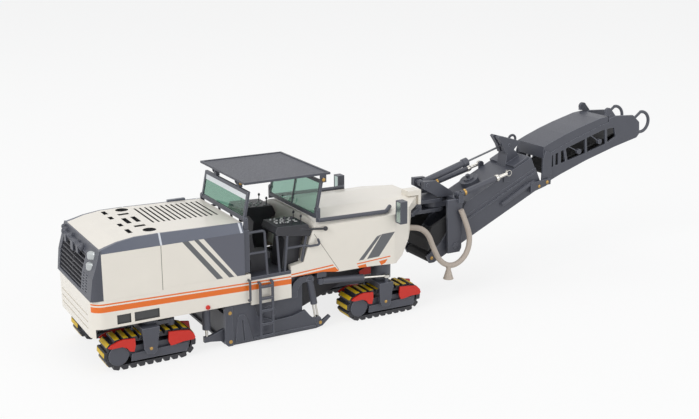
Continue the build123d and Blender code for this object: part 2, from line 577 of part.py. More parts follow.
def pivot_plates(pivot, foot_z):
    """Upright plates outside a screen's lower corners, with the pins that it turns on."""
    x, z = pivot
    plates = []
    for side in (-1, 1):
        plate = side_prism([(x - 0.9, foot_z), (x + 0.9, foot_z), (x + 0.9, z + 0.3), (x + 0.4, z + 0.9),
                            (x - 0.4, z + 0.9), (x - 0.9, z + 0.3)], *span(side, *PIVOT_PLATE))
        plates.append(plate + cross_bar(x, z, CANOPY_PIN_RADIUS, *span(side, SCREEN_HALF - 1.0, PIVOT_PLATE[1] + 0.3)))
    return plates


def operator_platform():
    deck = block(HOOD_FRONT_X + 2.6, 61.0, -BODY_HALF_WIDTH + 0.2, BODY_HALF_WIDTH - 0.2,
                 DECK_Z - DECK_THICKNESS, DECK_Z)
    deck += block(HOOD_FRONT_X + 0.1, HOOD_FRONT_X + 2.4, -BULKHEAD_HALF, BULKHEAD_HALF, 31.6, 49.4)
    deck += block(61.0, 66.0, -20.8, 20.8, DECK_Z - DECK_THICKNESS, DECK_Z)
    for plate in pivot_plates(REAR_PIVOT, 49.0):
        deck += plate
    return [deck]


def control_console():
    """The right-hand console: stand, sloping tray and long lever."""
    console = side_prism([(58.5, DECK_Z + SEAT), (66.0, DECK_Z + SEAT), (67.0, 38.0), (69.0, 44.0), (57.0, 46.0),
                          (60.0, 42.0)], -CONSOLE_OUTER_Y, -CONSOLE_INNER_Y)
    console += side_prism([(54.2, 46.4), (54.8, 45.2), (70.2, 43.0), (70.9, 44.6), (69.2, 48.2), (55.2, 48.8)],
                          -TRAY_OUTER_Y, -CONSOLE_INNER_Y)
    console += bar((64.0, -TRAY_OUTER_Y + 0.6, 46.4), (76.4, -TRAY_OUTER_Y - 1.4, 45.6), 0.45)
    return console + Pos(76.8, -TRAY_OUTER_Y - 1.5, 45.6) * Sphere(1.0)


def operator_seats():
    seats = []
    for y in (-14.5, 14.5):
        seat = side_prism([(45.4, DECK_Z + SEAT), (52.4, DECK_Z + SEAT), (52.4, 33.4), (54.2, 34.4), (54.2, 37.0),
                           (47.4, 37.0), (46.0, 45.6), (44.2, 45.6), (44.8, 36.0), (45.4, 34.0)], y - 4.0, y + 4.0)
        seats.append(seat)
    return seats


def platform_rails():
    """Rails of the right-hand entrance, and the same on the left."""
    y = RAIL_Y
    floor = DECK_Z + SEAT
    front = HOOD_FRONT_X + 2.4 + SEAT
    rail = bent_tube([(front, y, 48.2), (49.4, y, 48.2), (50.4, y, floor)], 1.2, 0.55)
    rail += bar((front, y, 39.2), (49.9, y, 39.2), 0.5)
    posts = bar((56.0, y, floor), (55.0, y, 45.0), 0.55)
    hoop = bar((58.4, y, floor), (59.8, y, 44.3), 0.55) + bar((66.3, y, 32.3), (68.6, y, 43.0), 0.55)
    hoop += bar((59.3, y, 39.0), (67.8, y, 39.0), 0.5)
    hoop += bent_tube([(67.8, y, 39.0), (69.4, y - 2.1, 39.0), (74.2, y - 2.1, 39.0), (73.0, y - 2.1, 41.6)],
                      0.9, 0.5)
    rails = []
    for piece in (rail, posts, hoop):
        rails += both_sides(piece)
    return rails


def access_ladders():
    ladders = []
    y = -BODY_HALF_WIDTH - 1.6
    rear, front = 45.9, 51.5
    wall_y = -BODY_HALF_WIDTH - SEAT
    ladder = bent_tube([(rear, wall_y, 26.6), (rear, y, 26.6), (rear, y, 2.6)], 0.9, 0.6)
    ladder += bent_tube([(front, wall_y, 26.6), (front, y, 26.6), (front, y, 2.6)], 0.9, 0.6)
    for z in (25.0, 19.8, 14.6, 8.6, 3.4):
        ladder += block(rear, front, y - 0.6, y + 0.6, z - 0.5, z + 0.5)
    grab = bent_tube([(41.4, wall_y, 28.4), (41.4, y, 28.4), (41.4, y, 19.6), (41.4, wall_y, 19.6)], 0.9, 0.5)
    for piece in (ladder, grab):
        ladders += both_sides(piece)
    return ladders


# Front body

TANK_TOP_Z = 50.0
TANK_EDGE_Z = 46.6
NOSE_HALF = 11.0
NOSE_BOTTOM_Z = 45.3


def water_tank():
    front = moved([(0, 60.0), (0, NOSE_BOTTOM_Z), (-8.0, NOSE_BOTTOM_Z), (-9.6, 36.0), (-15.0, 26.8), (-19.0, 24.0),
                   (-33.1, 24.8)], TANK_FRONT_X)
    outline = [(61.0 + SEAT, 26.2), (61.0 + SEAT, 31.0), (67.0, 32.0), (72.6, 49.0), (72.6, 60.0), *front,
               (83.5, 25.0), (76.0, 26.2)]
    section = [(-BODY_HALF_WIDTH, 20), (-BODY_HALF_WIDTH, TANK_EDGE_Z), (-21.0, 48.2), (-10.0, TANK_TOP_Z),
               (10.0, TANK_TOP_Z), (21.0, 48.2), (BODY_HALF_WIDTH, TANK_EDGE_Z), (BODY_HALF_WIDTH, 20)]
    corner = BODY_HALF_WIDTH - 2.9
    plan = [(60, -BODY_HALF_WIDTH), (TANK_FRONT_X - 20, -BODY_HALF_WIDTH), (TANK_FRONT_X - 11, -corner),
            (TANK_FRONT_X, -NOSE_HALF), (TANK_FRONT_X, NOSE_HALF), (TANK_FRONT_X - 11, corner),
            (TANK_FRONT_X - 20, BODY_HALF_WIDTH), (60, BODY_HALF_WIDTH)]
    tank = side_prism(outline, -30, 30) & cross_prism(section, 60, TANK_FRONT_X + 8) & plan_prism(plan, 20, 60)
    tank -= block(70, 76.4, -30, 30, 49.3, 61)
    tank -= block(59, 75, -21.0, 21.0, 0, 32.1)
    tank -= block(70, TANK_FRONT_X + 8, -17.2, 17.2, 0, 38.6)
    tank -= block(75, TANK_FRONT_X + 8, -22.6, 22.6, 0, 27.6)
    tank -= block(HOUSING_REAR_X, HOUSING_FRONT_X + 0.1, -HOUSING_HALF - 0.1, HOUSING_HALF + 0.1, 0, 31.8)
    for side in (-1, 1):
        tank -= upright(WHEELBASE, side * TRACK_MID_Y, COLUMN_RADIUS + SLEEVE_WALL + 0.1, 0, COLUMN_TOP_Z + 1.3)
        tank -= block(WHEELBASE - 4.1, WHEELBASE + 4.1, -TRACK_MID_Y, TRACK_MID_Y, 0, 27.6)
    tank -= block(TANK_FRONT_X - 21.0, TANK_FRONT_X + 8, -8.2, 8.2, 38.5, NOSE_BOTTOM_Z + 0.1)
    return [tank]


def nose_block():
    front = TANK_FRONT_X + 1.4
    piece = block(front - 6.9, front, -12.4, -6.4, TANK_TOP_Z + SEAT, 52.4)
    piece += block(TANK_FRONT_X + SEAT, front, -12.4, -6.4, 45.6, 51.0)
    return [piece]


def tank_rails():
    """Tubes along the tank's shoulders; each carries the plate that a front arm turns on."""
    y = -BODY_HALF_WIDTH + 1.0
    front = TANK_FRONT_X - 24.0
    rail = bent_tube([(74.6, y, 48.9), (front, y, 48.3), (front + 3.6, y + 3.0, 49.4)], 2.4, 0.9)
    return both_sides(rail + pivot_plates(FRONT_PIVOT, 48.2)[0])


MIRROR_X = TANK_FRONT_X - 20.6
MIRROR_Y = (BODY_HALF_WIDTH + 1.3, BODY_HALF_WIDTH + 5.5)
MIRROR_Z = (43.4, 53.4)


def mirror_housings():
    box = block(MIRROR_X, MIRROR_X + 3.4, -MIRROR_Y[1], -MIRROR_Y[0], *MIRROR_Z)
    box -= block(MIRROR_X - 1, MIRROR_X + 0.5, -MIRROR_Y[1] + 0.5, -MIRROR_Y[0] - 0.5,
                 MIRROR_Z[0] + 0.5, MIRROR_Z[1] - 0.5)
    box += block(MIRROR_X + 1.2, MIRROR_X + 2.6, -MIRROR_Y[0], -BODY_HALF_WIDTH - SEAT, 44.2, 45.6)
    return both_sides(box)


def mirror_glasses():
    glass = block(MIRROR_X + 0.1, MIRROR_X + 0.5 - SEAT, -MIRROR_Y[1] + 0.5 + SEAT, -MIRROR_Y[0] - 0.5 - SEAT,
                  MIRROR_Z[0] + 0.5 + SEAT, MIRROR_Z[1] - 0.5 - SEAT)
    return both_sides(glass)


# Slewing mount and bracket

SLEW_X = TANK_FRONT_X + 15.0
SLEW_PIN_RADIUS = 1.8
MOUNT_PLATES = ((38.8, 40.4), (43.4, 45.0))
BOSS_Z = (40.6, 43.2)
YOKE_Y = (11.4, 12.8)
TILT_PIVOT = (SLEW_X + 6.0, 23.0)


def slew_mount():
    plates = []
    for low, high in MOUNT_PLATES:
        plate = block(TANK_FRONT_X - 20, SLEW_X, -6.0, 6.0, low, high) + upright(SLEW_X, 0, 6.0, low, high)
        plates.append(plate)
    mount = plates[0] + plates[1] + block(TANK_FRONT_X - 20, TANK_FRONT_X + 1, -8.0, 8.0, MOUNT_PLATES[0][0],
                                          MOUNT_PLATES[1][1])
    mount += upright(SLEW_X, 0, SLEW_PIN_RADIUS, MOUNT_PLATES[0][0] - 0.4, MOUNT_PLATES[1][1])
    for side in (-1, 1):
        mount += bar((TANK_FRONT_X - 7.1, side * 16.6, 42.4), (TANK_FRONT_X + 2.5, side * 8.6, 42.4), 1.0)
        mount += block(TANK_FRONT_X - 2, TANK_FRONT_X + 4, side * 7.4 - 1.6, side * 7.4 + 1.6, 41.2, 44.0)
    return [mount]


def slew_bracket():
    low, high = BOSS_Z
    back, front = SLEW_X + 6.4, SLEW_X + 9.4
    bracket = upright(SLEW_X, 0, 5.2, low, high) + block(SLEW_X, front, -5.2, 5.2, low, high)
    bracket += block(back, front, -YOKE_Y[1], YOKE_Y[1], low, 45.4)
    plate = moved([(1.8, 19.6), (8.4, 19.6), (9.4, 21.4), (9.4, 45.4), (1.0, 45.4)], SLEW_X)
    for side in (-1, 1):
        bracket += side_prism(plate, *span(side, *YOKE_Y))
    arm = moved([(6.4, 44.0), (9.0, 44.0), (9.0, 47.0), (-1.0, 53.6), (-7.4, 53.8), (-7.4, 50.2), (0.6, 45.6),
                 (6.4, 45.3)], SLEW_X)
    for y in (-4.4, 4.4):
        bracket += side_prism(arm, y - 1.2, y + 1.2)
    bracket += cross_bar(*LIFT_BASE, 0.9, -5.8, 5.8)
    x, z = STAY_BASE
    for side in (-1, 1):
        for inner, outer in ((STAY_Y - 2.1, STAY_Y - 1.5), (STAY_Y + 1.5, STAY_Y + 2.1)):
            bracket += side_prism([(x - 1.4, 45.0), (x + 1.4, 45.0), (x + 1.0, z + 1.0), (x - 1.0, z + 1.0)],
                                  *span(side, inner, outer))
        y0, y1 = span(side, STAY_Y - 2.1, STAY_Y + 2.1)
        bracket += block(x - 1.4, x + 1.4, y0, y1, 43.6, 45.4)
        bracket += cross_bar(*STAY_BASE, STAY_PIN_RADIUS, y0, y1)
    bracket -= upright(SLEW_X, 0, SLEW_PIN_RADIUS + PIN_CLEAR, 0, 44.0)
    bracket -= cross_bar(*TILT_PIVOT, 1.4 + PIN_CLEAR, -40, 40)
    return [bracket]


# Discharge conveyor

LIFT_BASE = (SLEW_X - 5.5, 51.9)
LIFT_EYE = (SLEW_X + 43.0, 65.6)
LIFT_BARREL_LENGTH = 27.0
TILT_ANGLE = 24.6
FOLD_PIVOT = (SLEW_X + 60.5, 46.9)
FOLD_PIN_RADIUS = 1.0
FOLD_LUG_Y = (11.15, 12.0)
FOLD_TUBE = ((32.8, 2.6), (50.2, 3.1))   # along and square to the lower conveyor
STAY_BASE = (SLEW_X + 8.0, 47.2)
STAY_EYE = (SLEW_X + 36.6, 54.2)
STAY_BARREL_LENGTH = 23.4
STAY_BARREL_RADIUS = 1.4
STAY_ROD_RADIUS = 0.9
STAY_Y = 11.7
STAY_PIN_RADIUS = 0.7
STAY_EYE_CLEAR = 0.46          # the stay rods' eyes drift further
STAY_LUG_Y = (10.02, 10.6)
BELT_HALF = 7.6
SIDE_Y = (8.9, 10.1)


def along_conveyor(run, rise):
    """X and Z of a point given along and square to the lower conveyor."""
    turn = radians(TILT_ANGLE)
    return (TILT_PIVOT[0] + run * cos(turn) - rise * sin(turn),
            TILT_PIVOT[1] + run * sin(turn) + rise * cos(turn))


def conveyor_prism(points, y0, y1):
    return side_prism([along_conveyor(*point) for point in points], y0, y1)


def conveyor_lower_frame():
    sides = []
    for side in (-1, 1):
        y2, y3 = SIDE_Y[1], SIDE_Y[1] + 0.9
        cheek = conveyor_prism([(-14.6, -1.6), (-12.4, -2.6), (57.0, -2.4), (57.0, 8.6), (4.0, 8.6), (-6.0, 4.0),
                                (-14.6, 2.2)], *span(side, *SIDE_Y))
        cheek += cross_bar(*TILT_PIVOT, 1.4, *span(side, SIDE_Y[0], YOKE_Y[1] + 0.3))
        cheek += conveyor_prism([(8.0, 6.2), (56.0, 6.2), (56.0, 7.0), (8.0, 7.0)], *span(side, y2, y2 + 0.45))
        (x0, z0), (x1, z1) = [along_conveyor(*point) for point in FOLD_TUBE]
        tube_y = side * (y2 + 0.5)
        cheek += bar((x0, tube_y, z0), (x1, tube_y, z1), 1.2)
        cheek += Pos(x0, tube_y, z0) * Sphere(1.2)
        x2, z2 = along_conveyor(FOLD_TUBE[1][0] + 3.0, FOLD_TUBE[1][1] + 0.1)
        cheek += bar((x1, tube_y, z1), (x2, tube_y, z2), 0.7)
        x, z = FOLD_PIVOT
        cheek += side_prism([(x - 9.9, z - 4.3), (x - 0.9, z - 1.9), (x + 1.9, z - 0.5), (x + 1.3, z + 1.7),
                             (x - 9.9, z + 0.5)], *span(side, *FOLD_LUG_Y))
        cheek += side_prism([(x - 9.9, z - 4.3), (x - 5.5, z - 3.1), (x - 5.5, z + 0.9), (x - 9.9, z + 0.5)],
                            *span(side, y2, FOLD_LUG_Y[1]))
        cheek += cross_bar(x, z, FOLD_PIN_RADIUS, *span(side, SIDE_Y[0], FOLD_LUG_Y[1]))
        sides.append(cheek)
    frame = sides[0] + sides[1]
    for run in (-1.0, 16.0, 30.0, 44.0, 55.0):
        x, z = along_conveyor(run, 5.4)
        frame += cross_bar(x, z, 0.8, -SIDE_Y[0], SIDE_Y[0])
    for run in (-12.6, 54.0):
        x, z = along_conveyor(run, 0)
        frame += cross_bar(x, z, 1.5, -SIDE_Y[0], SIDE_Y[0])
    return [frame]


def belt_loop(start, end, radius, thickness):
    """A flat belt round two rollers whose middles are given in X and Z."""
    line = Vector(end[0] - start[0], 0, end[1] - start[1])
    turn = Vector(1, 0, 0).get_signed_angle(line, Vector(0, 1, 0))
    half = line.length / 2
    belt = stadium(half, radius, -BELT_HALF, BELT_HALF, 0, 0) \
        - stadium(half, radius - thickness, -BELT_HALF - 1, BELT_HALF + 1, 0, 0)
    return Pos((start[0] + end[0]) / 2, 0, (start[1] + end[1]) / 2) * Rot(0, turn, 0) * belt


def conveyor_lower_belt():
    return [belt_loop(along_conveyor(-12.6, 0), along_conveyor(54.0, 0), 2.3, 0.6)]


def conveyor_lower_cover():
    base, top = 8.6 + SEAT, 14.6
    cover = conveyor_prism([(9.0, base), (56.6, base), (56.6, top), (15.4, top), (9.0, top - 4.0)], -10.0, 10.0)
    cover -= conveyor_prism([(0.0, base - 1), (60.0, base - 1), (60.0, top - 1.2), (0.0, top - 1.2)], -8.8, 8.8)
    return [cover]


def conveyor_brackets():
    """Beak-shaped lug on the cover for the lift cylinder's rod, its ring, and the stay cylinders' lugs."""
    top = 14.6 + SEAT
    x, z = LIFT_EYE
    beak = moved([(-6.8, 70.0), (-5.9, 70.6), (5.2, 67.4), (6.2, 66.3), (1.8, 62.0), (-2.0, 61.6), (-3.6, 65.4)], x)
    lug = side_prism(beak, -3.4, 3.4)
    lug += conveyor_prism([(45.2, top), (55.0, top), (52.8, 20.4), (48.8, 20.4)], -3.4, 3.4)
    lug -= block(x - 8, x + 3.2, -1.0, 1.0, z - 3.4, z + 6)
    lug += cross_bar(x, z, 0.7, -3.6, 3.6)
    lug += Pos(x + 7.0, 3.6, z + 1.0) * Rot(90, 0, 0) * Torus(2.0, 0.6)
    lug += bar((x + 4.0, 3.0, z - 0.6), (x + 5.4, 3.6, z + 0.6), 0.6)
    lug += conveyor_prism([(46.0, top), (55.6, top), (55.6, top + 1.2), (46.0, top + 1.2)], -9.6, 9.6)
    pieces = [lug]
    x, z = STAY_EYE
    for side in (-1, 1):
        stay = side_prism([(x - 1.5, z - 4.6), (x + 1.5, z - 4.6), (x + 1.5, z + 0.6), (x + 0.6, z + 1.5),
                           (x - 0.6, z + 1.5), (x - 1.5, z + 0.6)], *span(side, *STAY_LUG_Y))
        pieces.append(stay + cross_bar(x, z, STAY_PIN_RADIUS, *span(side, STAY_LUG_Y[0], STAY_Y + 0.9)))
    return pieces


def drive_motor():
    x, z = along_conveyor(27.0, 14.6 + SEAT)
    turn = Rot(0, -TILT_ANGLE, 0)
    motor = Pos(0, 0, 1.4) * Cylinder(4.6, 2.8) + Pos(0, 0, 3.2) * Cylinder(2.6, 0.8) + Pos(0, 0, 4.2) * Cylinder(0.9, 2.0)
    return [Pos(x, 2.0, z) * turn * motor]


def tail_hopper():
    """Black rubber walls round the conveyor's receiving end."""
    hopper = conveyor_prism([(-13.0, 4.4), (-6.0, 4.8), (3.2, 9.4), (3.6, 14.2), (-6.6, 14.2), (-11.0, 9.6)],
                            -SIDE_Y[1], SIDE_Y[1])
    hopper -= conveyor_prism([(-12.0, 0.0), (6.0, 0.0), (6.0, 30), (-5.0, 30), (-10.0, 9.8)],
                             -SIDE_Y[1] + 1.2, SIDE_Y[1] - 1.2)
    return [hopper]


# The upper conveyor's outlines count X from the fold pin
UPPER_ROLLERS = ((4.5, 51.2), (57.1, 67.4))
UPPER_BOTTOM = ((-1.5, 45.0), (9.5, 49.2), (26.0, 54.6), (44.5, 59.6), (59.2, 62.9), (60.8, 64.6))
UPPER_TOP = ((60.8, 66.4), (60.4, 70.8), (55.9, 74.7), (44.5, 75.4), (39.6, 74.4), (39.6, 72.6))
COVER_SEAT = ((34.5, 71.4), (19.5, 66.8), (4.5, 61.6), (-1.5, 58.4))  # edge that the cover sits on
COVER_TOP = ((-1.5, 64.2), (3.5, 66.2), (12.0, 69.2), (20.1, 71.6), (33.5, 75.0), (39.1, 75.6))
UPPER_WINDOW = ((3.7, 53.4), (13.4, 55.6), (25.9, 58.5), (38.6, 61.8), (44.9, 64.6), (43.4, 69.6), (36.8, 69.2),
                (27.6, 66.6), (11.2, 61.6), (3.5, 59.2))
BRACES = (  # foot x and z, head x and z, width
    (5.6, 52.0, 5.2, 62.0, 1.4), (9.0, 53.0, 8.4, 63.0, 1.6), (13.6, 54.0, 11.0, 64.0, 1.4), (26.0, 57.0, 24.8, 68.0, 1.0),
    (12.6, 63.6, 21.0, 59.4, 0.8), (26.6, 67.9, 34.2, 63.1, 0.8), (39.0, 60.0, 37.8, 71.0, 1.2))
IDLER_DISCS = ((20.9, 59.6), (34.1, 63.3))
IDLER_RADIUS = 1.3
TIP_LOOP_RADIUS = 5.2
TIP_LOOP_TUBE = 0.8


def conveyor_tip():
    """Half-round loop and lifting lug of the right-hand cheek."""
    y = -(SIDE_Y[0] + SIDE_Y[1]) / 2
    x, z = LOOP_TIP_X - TIP_LOOP_RADIUS - TIP_LOOP_TUBE, 70.7
    loop = Pos(x, y, z) * Rot(90, 0, 0) * Torus(TIP_LOOP_RADIUS, TIP_LOOP_TUBE)
    loop &= block(x - 0.8, x + 10, y - 2, y + 2, z - 10, z + 10)
    loop += bar((x - 0.7, y, z + TIP_LOOP_RADIUS - 0.1), (x - 4.4, y, z + 2.4), TIP_LOOP_TUBE - 0.1)
    loop += bar((x - 0.7, y, z - TIP_LOOP_RADIUS + 0.1), (x - 2.6, y, z - 4.6), TIP_LOOP_TUBE - 0.1)
    lug = side_prism(moved([(39.7, 73.6), (44.6, 74.6), (43.2, 76.4), (40.8, 79.0), (37.6, 79.0), (37.0, 76.2),
                            (39.7, 75.8)], FOLD_PIVOT[0]), y - 0.5, y + 0.5)
    lug += cross_bar(FOLD_PIVOT[0] + 39.1, 77.9, 2.0, y - 0.7, y + 0.7)
    return loop + lug


def conveyor_upper_frame():
    window = side_prism(moved(UPPER_WINDOW, FOLD_PIVOT[0]), -30, 30)
    y0, y1 = -SIDE_Y[1], -SIDE_Y[0]
    cheek = side_prism(moved(UPPER_BOTTOM + UPPER_TOP + COVER_SEAT, FOLD_PIVOT[0]), y0, y1) - window
    for foot_x, foot_z, head_x, head_z, width in BRACES:
        half = width / 2
        brace = moved([(foot_x - half, foot_z), (foot_x + half, foot_z), (head_x + half, head_z),
                       (head_x - half, head_z)], FOLD_PIVOT[0])
        cheek += side_prism(brace, y0, y1) & window
    for x, z in moved(IDLER_DISCS, FOLD_PIVOT[0]):
        cheek += cross_bar(x, z, IDLER_RADIUS, y0 - 0.4, y1)
    post = moved([(-2.3, 45.2), (3.1, 45.2), (3.1, 60.6), (-0.9, 62.4), (-2.3, 57.8)], FOLD_PIVOT[0])
    cheek += side_prism(post, y0 - 0.8, y0)
    cheek += conveyor_tip()
    cheek -= cross_bar(*FOLD_PIVOT, FOLD_PIN_RADIUS + PIN_CLEAR, -40, 40)
    frame = cheek + mirror(cheek, about=Plane.XZ)
    for x, z in moved(UPPER_ROLLERS, FOLD_PIVOT[0]):
        frame += cross_bar(x, z, 1.5, -SIDE_Y[0], SIDE_Y[0])
    return [frame]


def conveyor_upper_belt():
    return [belt_loop(*moved(UPPER_ROLLERS, FOLD_PIVOT[0]), 2.3, 0.6)]


def conveyor_upper_cover():
    seat = [(x, z + SEAT) for x, z in COVER_SEAT]
    outline = [(39.1, 72.5), *seat, *COVER_TOP]
    return [side_prism(moved(outline, FOLD_PIVOT[0]), -10.0, 10.0)]


def cylinder_barrel(base, eye, length, radius, rod_radius, y):
    """Barrel with its foot, bored for the rod, from base towards eye in X and Z."""
    start = Vector(base[0], y, base[1])
    line = (Vector(eye[0], y, eye[1]) - start).normalized()
    barrel = bar(tuple(start + line * 1.2), tuple(start + line * length), radius)
    barrel += cross_bar(base[0], base[1], radius * 0.95, y - radius * 0.8, y + radius * 0.8)
    barrel -= bar(tuple(start + line * 5.0), tuple(start + line * (length + 1)), rod_radius + PIN_CLEAR)
    return barrel


def cylinder_rod(base, eye, length, rod_radius, y, overlap):
    start = Vector(base[0], y, base[1])
    end = Vector(eye[0], y, eye[1])
    line = (end - start).normalized()
    rod = bar(tuple(start + line * (length - overlap)), tuple(end), rod_radius)
    return rod


def conveyor_lift_barrel():
    """Barrel with the thicker gland at its end."""
    barrel = cylinder_barrel(LIFT_BASE, LIFT_EYE, LIFT_BARREL_LENGTH, 1.6, 0.45, 0)
    start = Vector(LIFT_BASE[0], 0, LIFT_BASE[1])
    line = (Vector(LIFT_EYE[0], 0, LIFT_EYE[1]) - start).normalized()
    ring = bar(tuple(start + line * (LIFT_BARREL_LENGTH - 2.6)), tuple(start + line * LIFT_BARREL_LENGTH), 2.1)
    barrel += ring - bar(tuple(start), tuple(start + line * (LIFT_BARREL_LENGTH + 1)), 1.0)
    return [barrel - cross_bar(*LIFT_BASE, 0.9 + PIN_CLEAR, -10, 10)]


def conveyor_lift_rod():
    rod = cylinder_rod(LIFT_BASE, LIFT_EYE, LIFT_BARREL_LENGTH, 0.45, 0, 14.0)
    rod += cross_bar(*LIFT_EYE, 1.4, -0.8, 0.8)
    return [rod - cross_bar(*LIFT_EYE, 0.7 + LINK_CLEAR, -10, 10)]


def stay_barrels():
    barrel = cylinder_barrel(STAY_BASE, STAY_EYE, STAY_BARREL_LENGTH, STAY_BARREL_RADIUS, STAY_ROD_RADIUS, -STAY_Y)
    return both_sides(barrel - cross_bar(*STAY_BASE, STAY_PIN_RADIUS + PIN_CLEAR, -40, 40))


def stay_rods():
    rod = cylinder_rod(STAY_BASE, STAY_EYE, STAY_BARREL_LENGTH, STAY_ROD_RADIUS, -STAY_Y, 14.0)
    rod += cross_bar(*STAY_EYE, 1.5, -STAY_Y - 0.6, -STAY_Y + 0.6)
    return both_sides(rod - cross_bar(*STAY_EYE, STAY_PIN_RADIUS + STAY_EYE_CLEAR, -40, 40))


# Canopy

CANOPY_ARM = (2.5, 12.6)
ROOF_REAR_X = 41.2
ROOF_FRONT_X = 80.4
ROOF_HALF = BODY_HALF_WIDTH - 0.9


def arm_top(pivot):
    return (pivot[0] + CANOPY_ARM[0], pivot[1] + CANOPY_ARM[1])


def screen(pivot, low, high, window_low, window_high, middle):
    """Frame and glass of one screen, leaning along the canopy's arms."""
    lean = CANOPY_ARM[0] / CANOPY_ARM[1]

    def at(rise):
        return (pivot[0] + lean * rise, pivot[1] + rise)

    def sheet(rise0, rise1, y0, y1, half):
        (x0, z0), (x1, z1) = at(rise0), at(rise1)
        return side_prism([(x0 - half, z0), (x0 + half, z0), (x1 + half, z1), (x1 - half, z1)], y0, y1)

    frame = sheet(low, high, -SCREEN_HALF, SCREEN_HALF, 0.55)
    opening = sheet(window_low, window_high, -SCREEN_HALF + 1.3, SCREEN_HALF - 1.3, 2)
    frame -= opening
    glass = sheet(window_low + SEAT, window_high - SEAT, -SCREEN_HALF + 1.3 + SEAT, SCREEN_HALF - 1.3 - SEAT, 0.25)
    if middle:
        post = sheet(window_low, window_high, -0.5, 0.5, 0.55)
        frame += post
        glass -= sheet(window_low - 1, window_high + 1, -0.5 - SEAT, 0.5 + SEAT, 2)
    for side in (-1, 1):
        y0, y1 = span(side, SCREEN_HALF - 1.1, SCREEN_HALF)
        frame += cross_bar(*pivot, 0.95, y0, y1)
        frame -= cross_bar(*pivot, CANOPY_PIN_RADIUS + PIN_CLEAR, *span(side, SCREEN_HALF - 1.1, SCREEN_HALF + 1))
    return frame, glass


def rear_screen():
    frame, glass = screen(REAR_PIVOT, -1.0, 10.9, 0.6, 9.6, False)
    for y in (-12.0, 12.0):
        top = arm_top(REAR_PIVOT)
        frame += side_prism([(REAR_PIVOT[0] + 2.1, 64.6), (top[0] + 1.2, 64.6), (top[0] + 0.9, top[1] + 0.6),
                             (top[0] - 0.9, top[1] + 0.6)], y - 0.8, y + 0.8)
        frame += cross_bar(*top, 0.8, y - 1.6, y + 1.6)
    return frame, glass


def front_screen():
    frame, glass = screen(FRONT_PIVOT, -3.8, 12.0, -2.4, 10.8, True)
    for side in (-1, 1):
        frame += cross_bar(*arm_top(FRONT_PIVOT), CANOPY_PIN_RADIUS, *span(side, SCREEN_HALF - 0.8, SCREEN_HALF + 1.2))
    return frame, glass


def canopy_roof():
    z = 68.2
    roof = block(ROOF_REAR_X, ROOF_FRONT_X, -ROOF_HALF, ROOF_HALF, z, z + 0.9)
    roof -= block(ROOF_REAR_X + 1, ROOF_FRONT_X - 1, -ROOF_HALF + 1, ROOF_HALF - 1, z + 0.6, z + 2)
    top = arm_top(REAR_PIVOT)
    for y in (-12.0, 12.0):
        for way in (-1.35, 1.35):
            lug = side_prism([(top[0] - 1.4, z), (top[0] - 1.2, top[1]), (top[0] - 0.5, top[1] - 1.2),
                              (top[0] + 0.5, top[1] - 1.2), (top[0] + 1.2, top[1]), (top[0] + 1.4, z)],
                             y + way - 0.35, y + way + 0.35)
            lug -= cross_bar(*top, 0.8 + PIN_CLEAR, -40, 40)
            roof += lug
    front = arm_top(FRONT_PIVOT)
    for side in (-1, 1):
        roof += block(front[0] - 1.4, front[0] + 1.4, *span(side, SCREEN_HALF + 0.2, SCREEN_HALF + 0.9),
                      front[1] - 1.2, z)
        roof -= cross_bar(*front, CANOPY_PIN_RADIUS + LINK_CLEAR, *span(side, SCREEN_HALF, SCREEN_HALF + 2))
    return [roof]


# Steering cylinders of the front crawlers

STEER_BARREL_LENGTH = 20.4


def steer_barrel():
    start = Vector(STEER_BASE[0], -STEER_BASE[1], STEER_BASE[2])
    end = Vector(STEER_EYE[0], -STEER_EYE[1], STEER_EYE[2])
    line = (end - start).normalized()
    barrel = bar(tuple(start + line), tuple(start + line * STEER_BARREL_LENGTH), 1.5)
    barrel += upright(start.X, start.Y, 1.6, start.Z - 1.2, start.Z + 1.2)
    barrel -= upright(start.X, start.Y, 0.7 + PIN_CLEAR, start.Z - 3, start.Z + 3)
    barrel -= bar(tuple(start + line * 5), tuple(start + line * 30), 0.5 + PIN_CLEAR)
    return barrel


def steer_rod():
    start = Vector(STEER_BASE[0], -STEER_BASE[1], STEER_BASE[2])
    end = Vector(STEER_EYE[0], -STEER_EYE[1], STEER_EYE[2])
    line = (end - start).normalized()
    rod = bar(tuple(start + line * (STEER_BARREL_LENGTH - 6)), tuple(end), 0.5)
    rod += upright(end.X, end.Y, STEER_PIN_RADIUS + STEER_EYE_CLEAR + 0.5, end.Z - 0.6, end.Z + 0.6)
    return rod - upright(end.X, end.Y, STEER_PIN_RADIUS + STEER_EYE_CLEAR, end.Z - 2, end.Z + 2)


# Water hose between the tank and the conveyor's bracket

HOSE_RADIUS = 1.3
HOSE_ROUTE = ((SLEW_X - 23.6, -15.0, 36.4), (SLEW_X - 18.0, -16.6, 36.6), (SLEW_X - 12.8, -17.4, 33.0),
              (SLEW_X - 10.0, -17.6, 26.0), (SLEW_X - 5.6, -17.6, 17.6), (SLEW_X + 2.2, -17.2, 14.4),
              (SLEW_X + 9.6, -16.6, 18.4), (SLEW_X + 12.4, -15.8, 26.0), (SLEW_X + 10.4, -14.8, 34.0),
              (SLEW_X + 7.6, -13.0 - HOSE_RADIUS, 40.4))


def hose_radii():
    points = [Vector(*point) for point in HOSE_ROUTE]
    radii = []
    for before, corner, after in zip(points, points[1:], points[2:]):
        turn = (corner - before).get_angle(after - corner)
        run = min((corner - before).length, (after - corner).length)
        radii.append(0.45 * run / tan(radians(turn) / 2))
    return radii


def water_hose():
    radii = hose_radii()
    print("hose arc radii, mm:", [round(radius, 1) for radius in radii])
    return [bent_tube(HOSE_ROUTE, radii, HOSE_RADIUS)]


def export(name, solids):
    shifted = [Pos(CENTRE_SHIFT, 0, 0) * solid for solid in solids]
    export_step(shifted[0] if len(shifted) == 1 else Compound(children=shifted), f"parts/{name}.step")


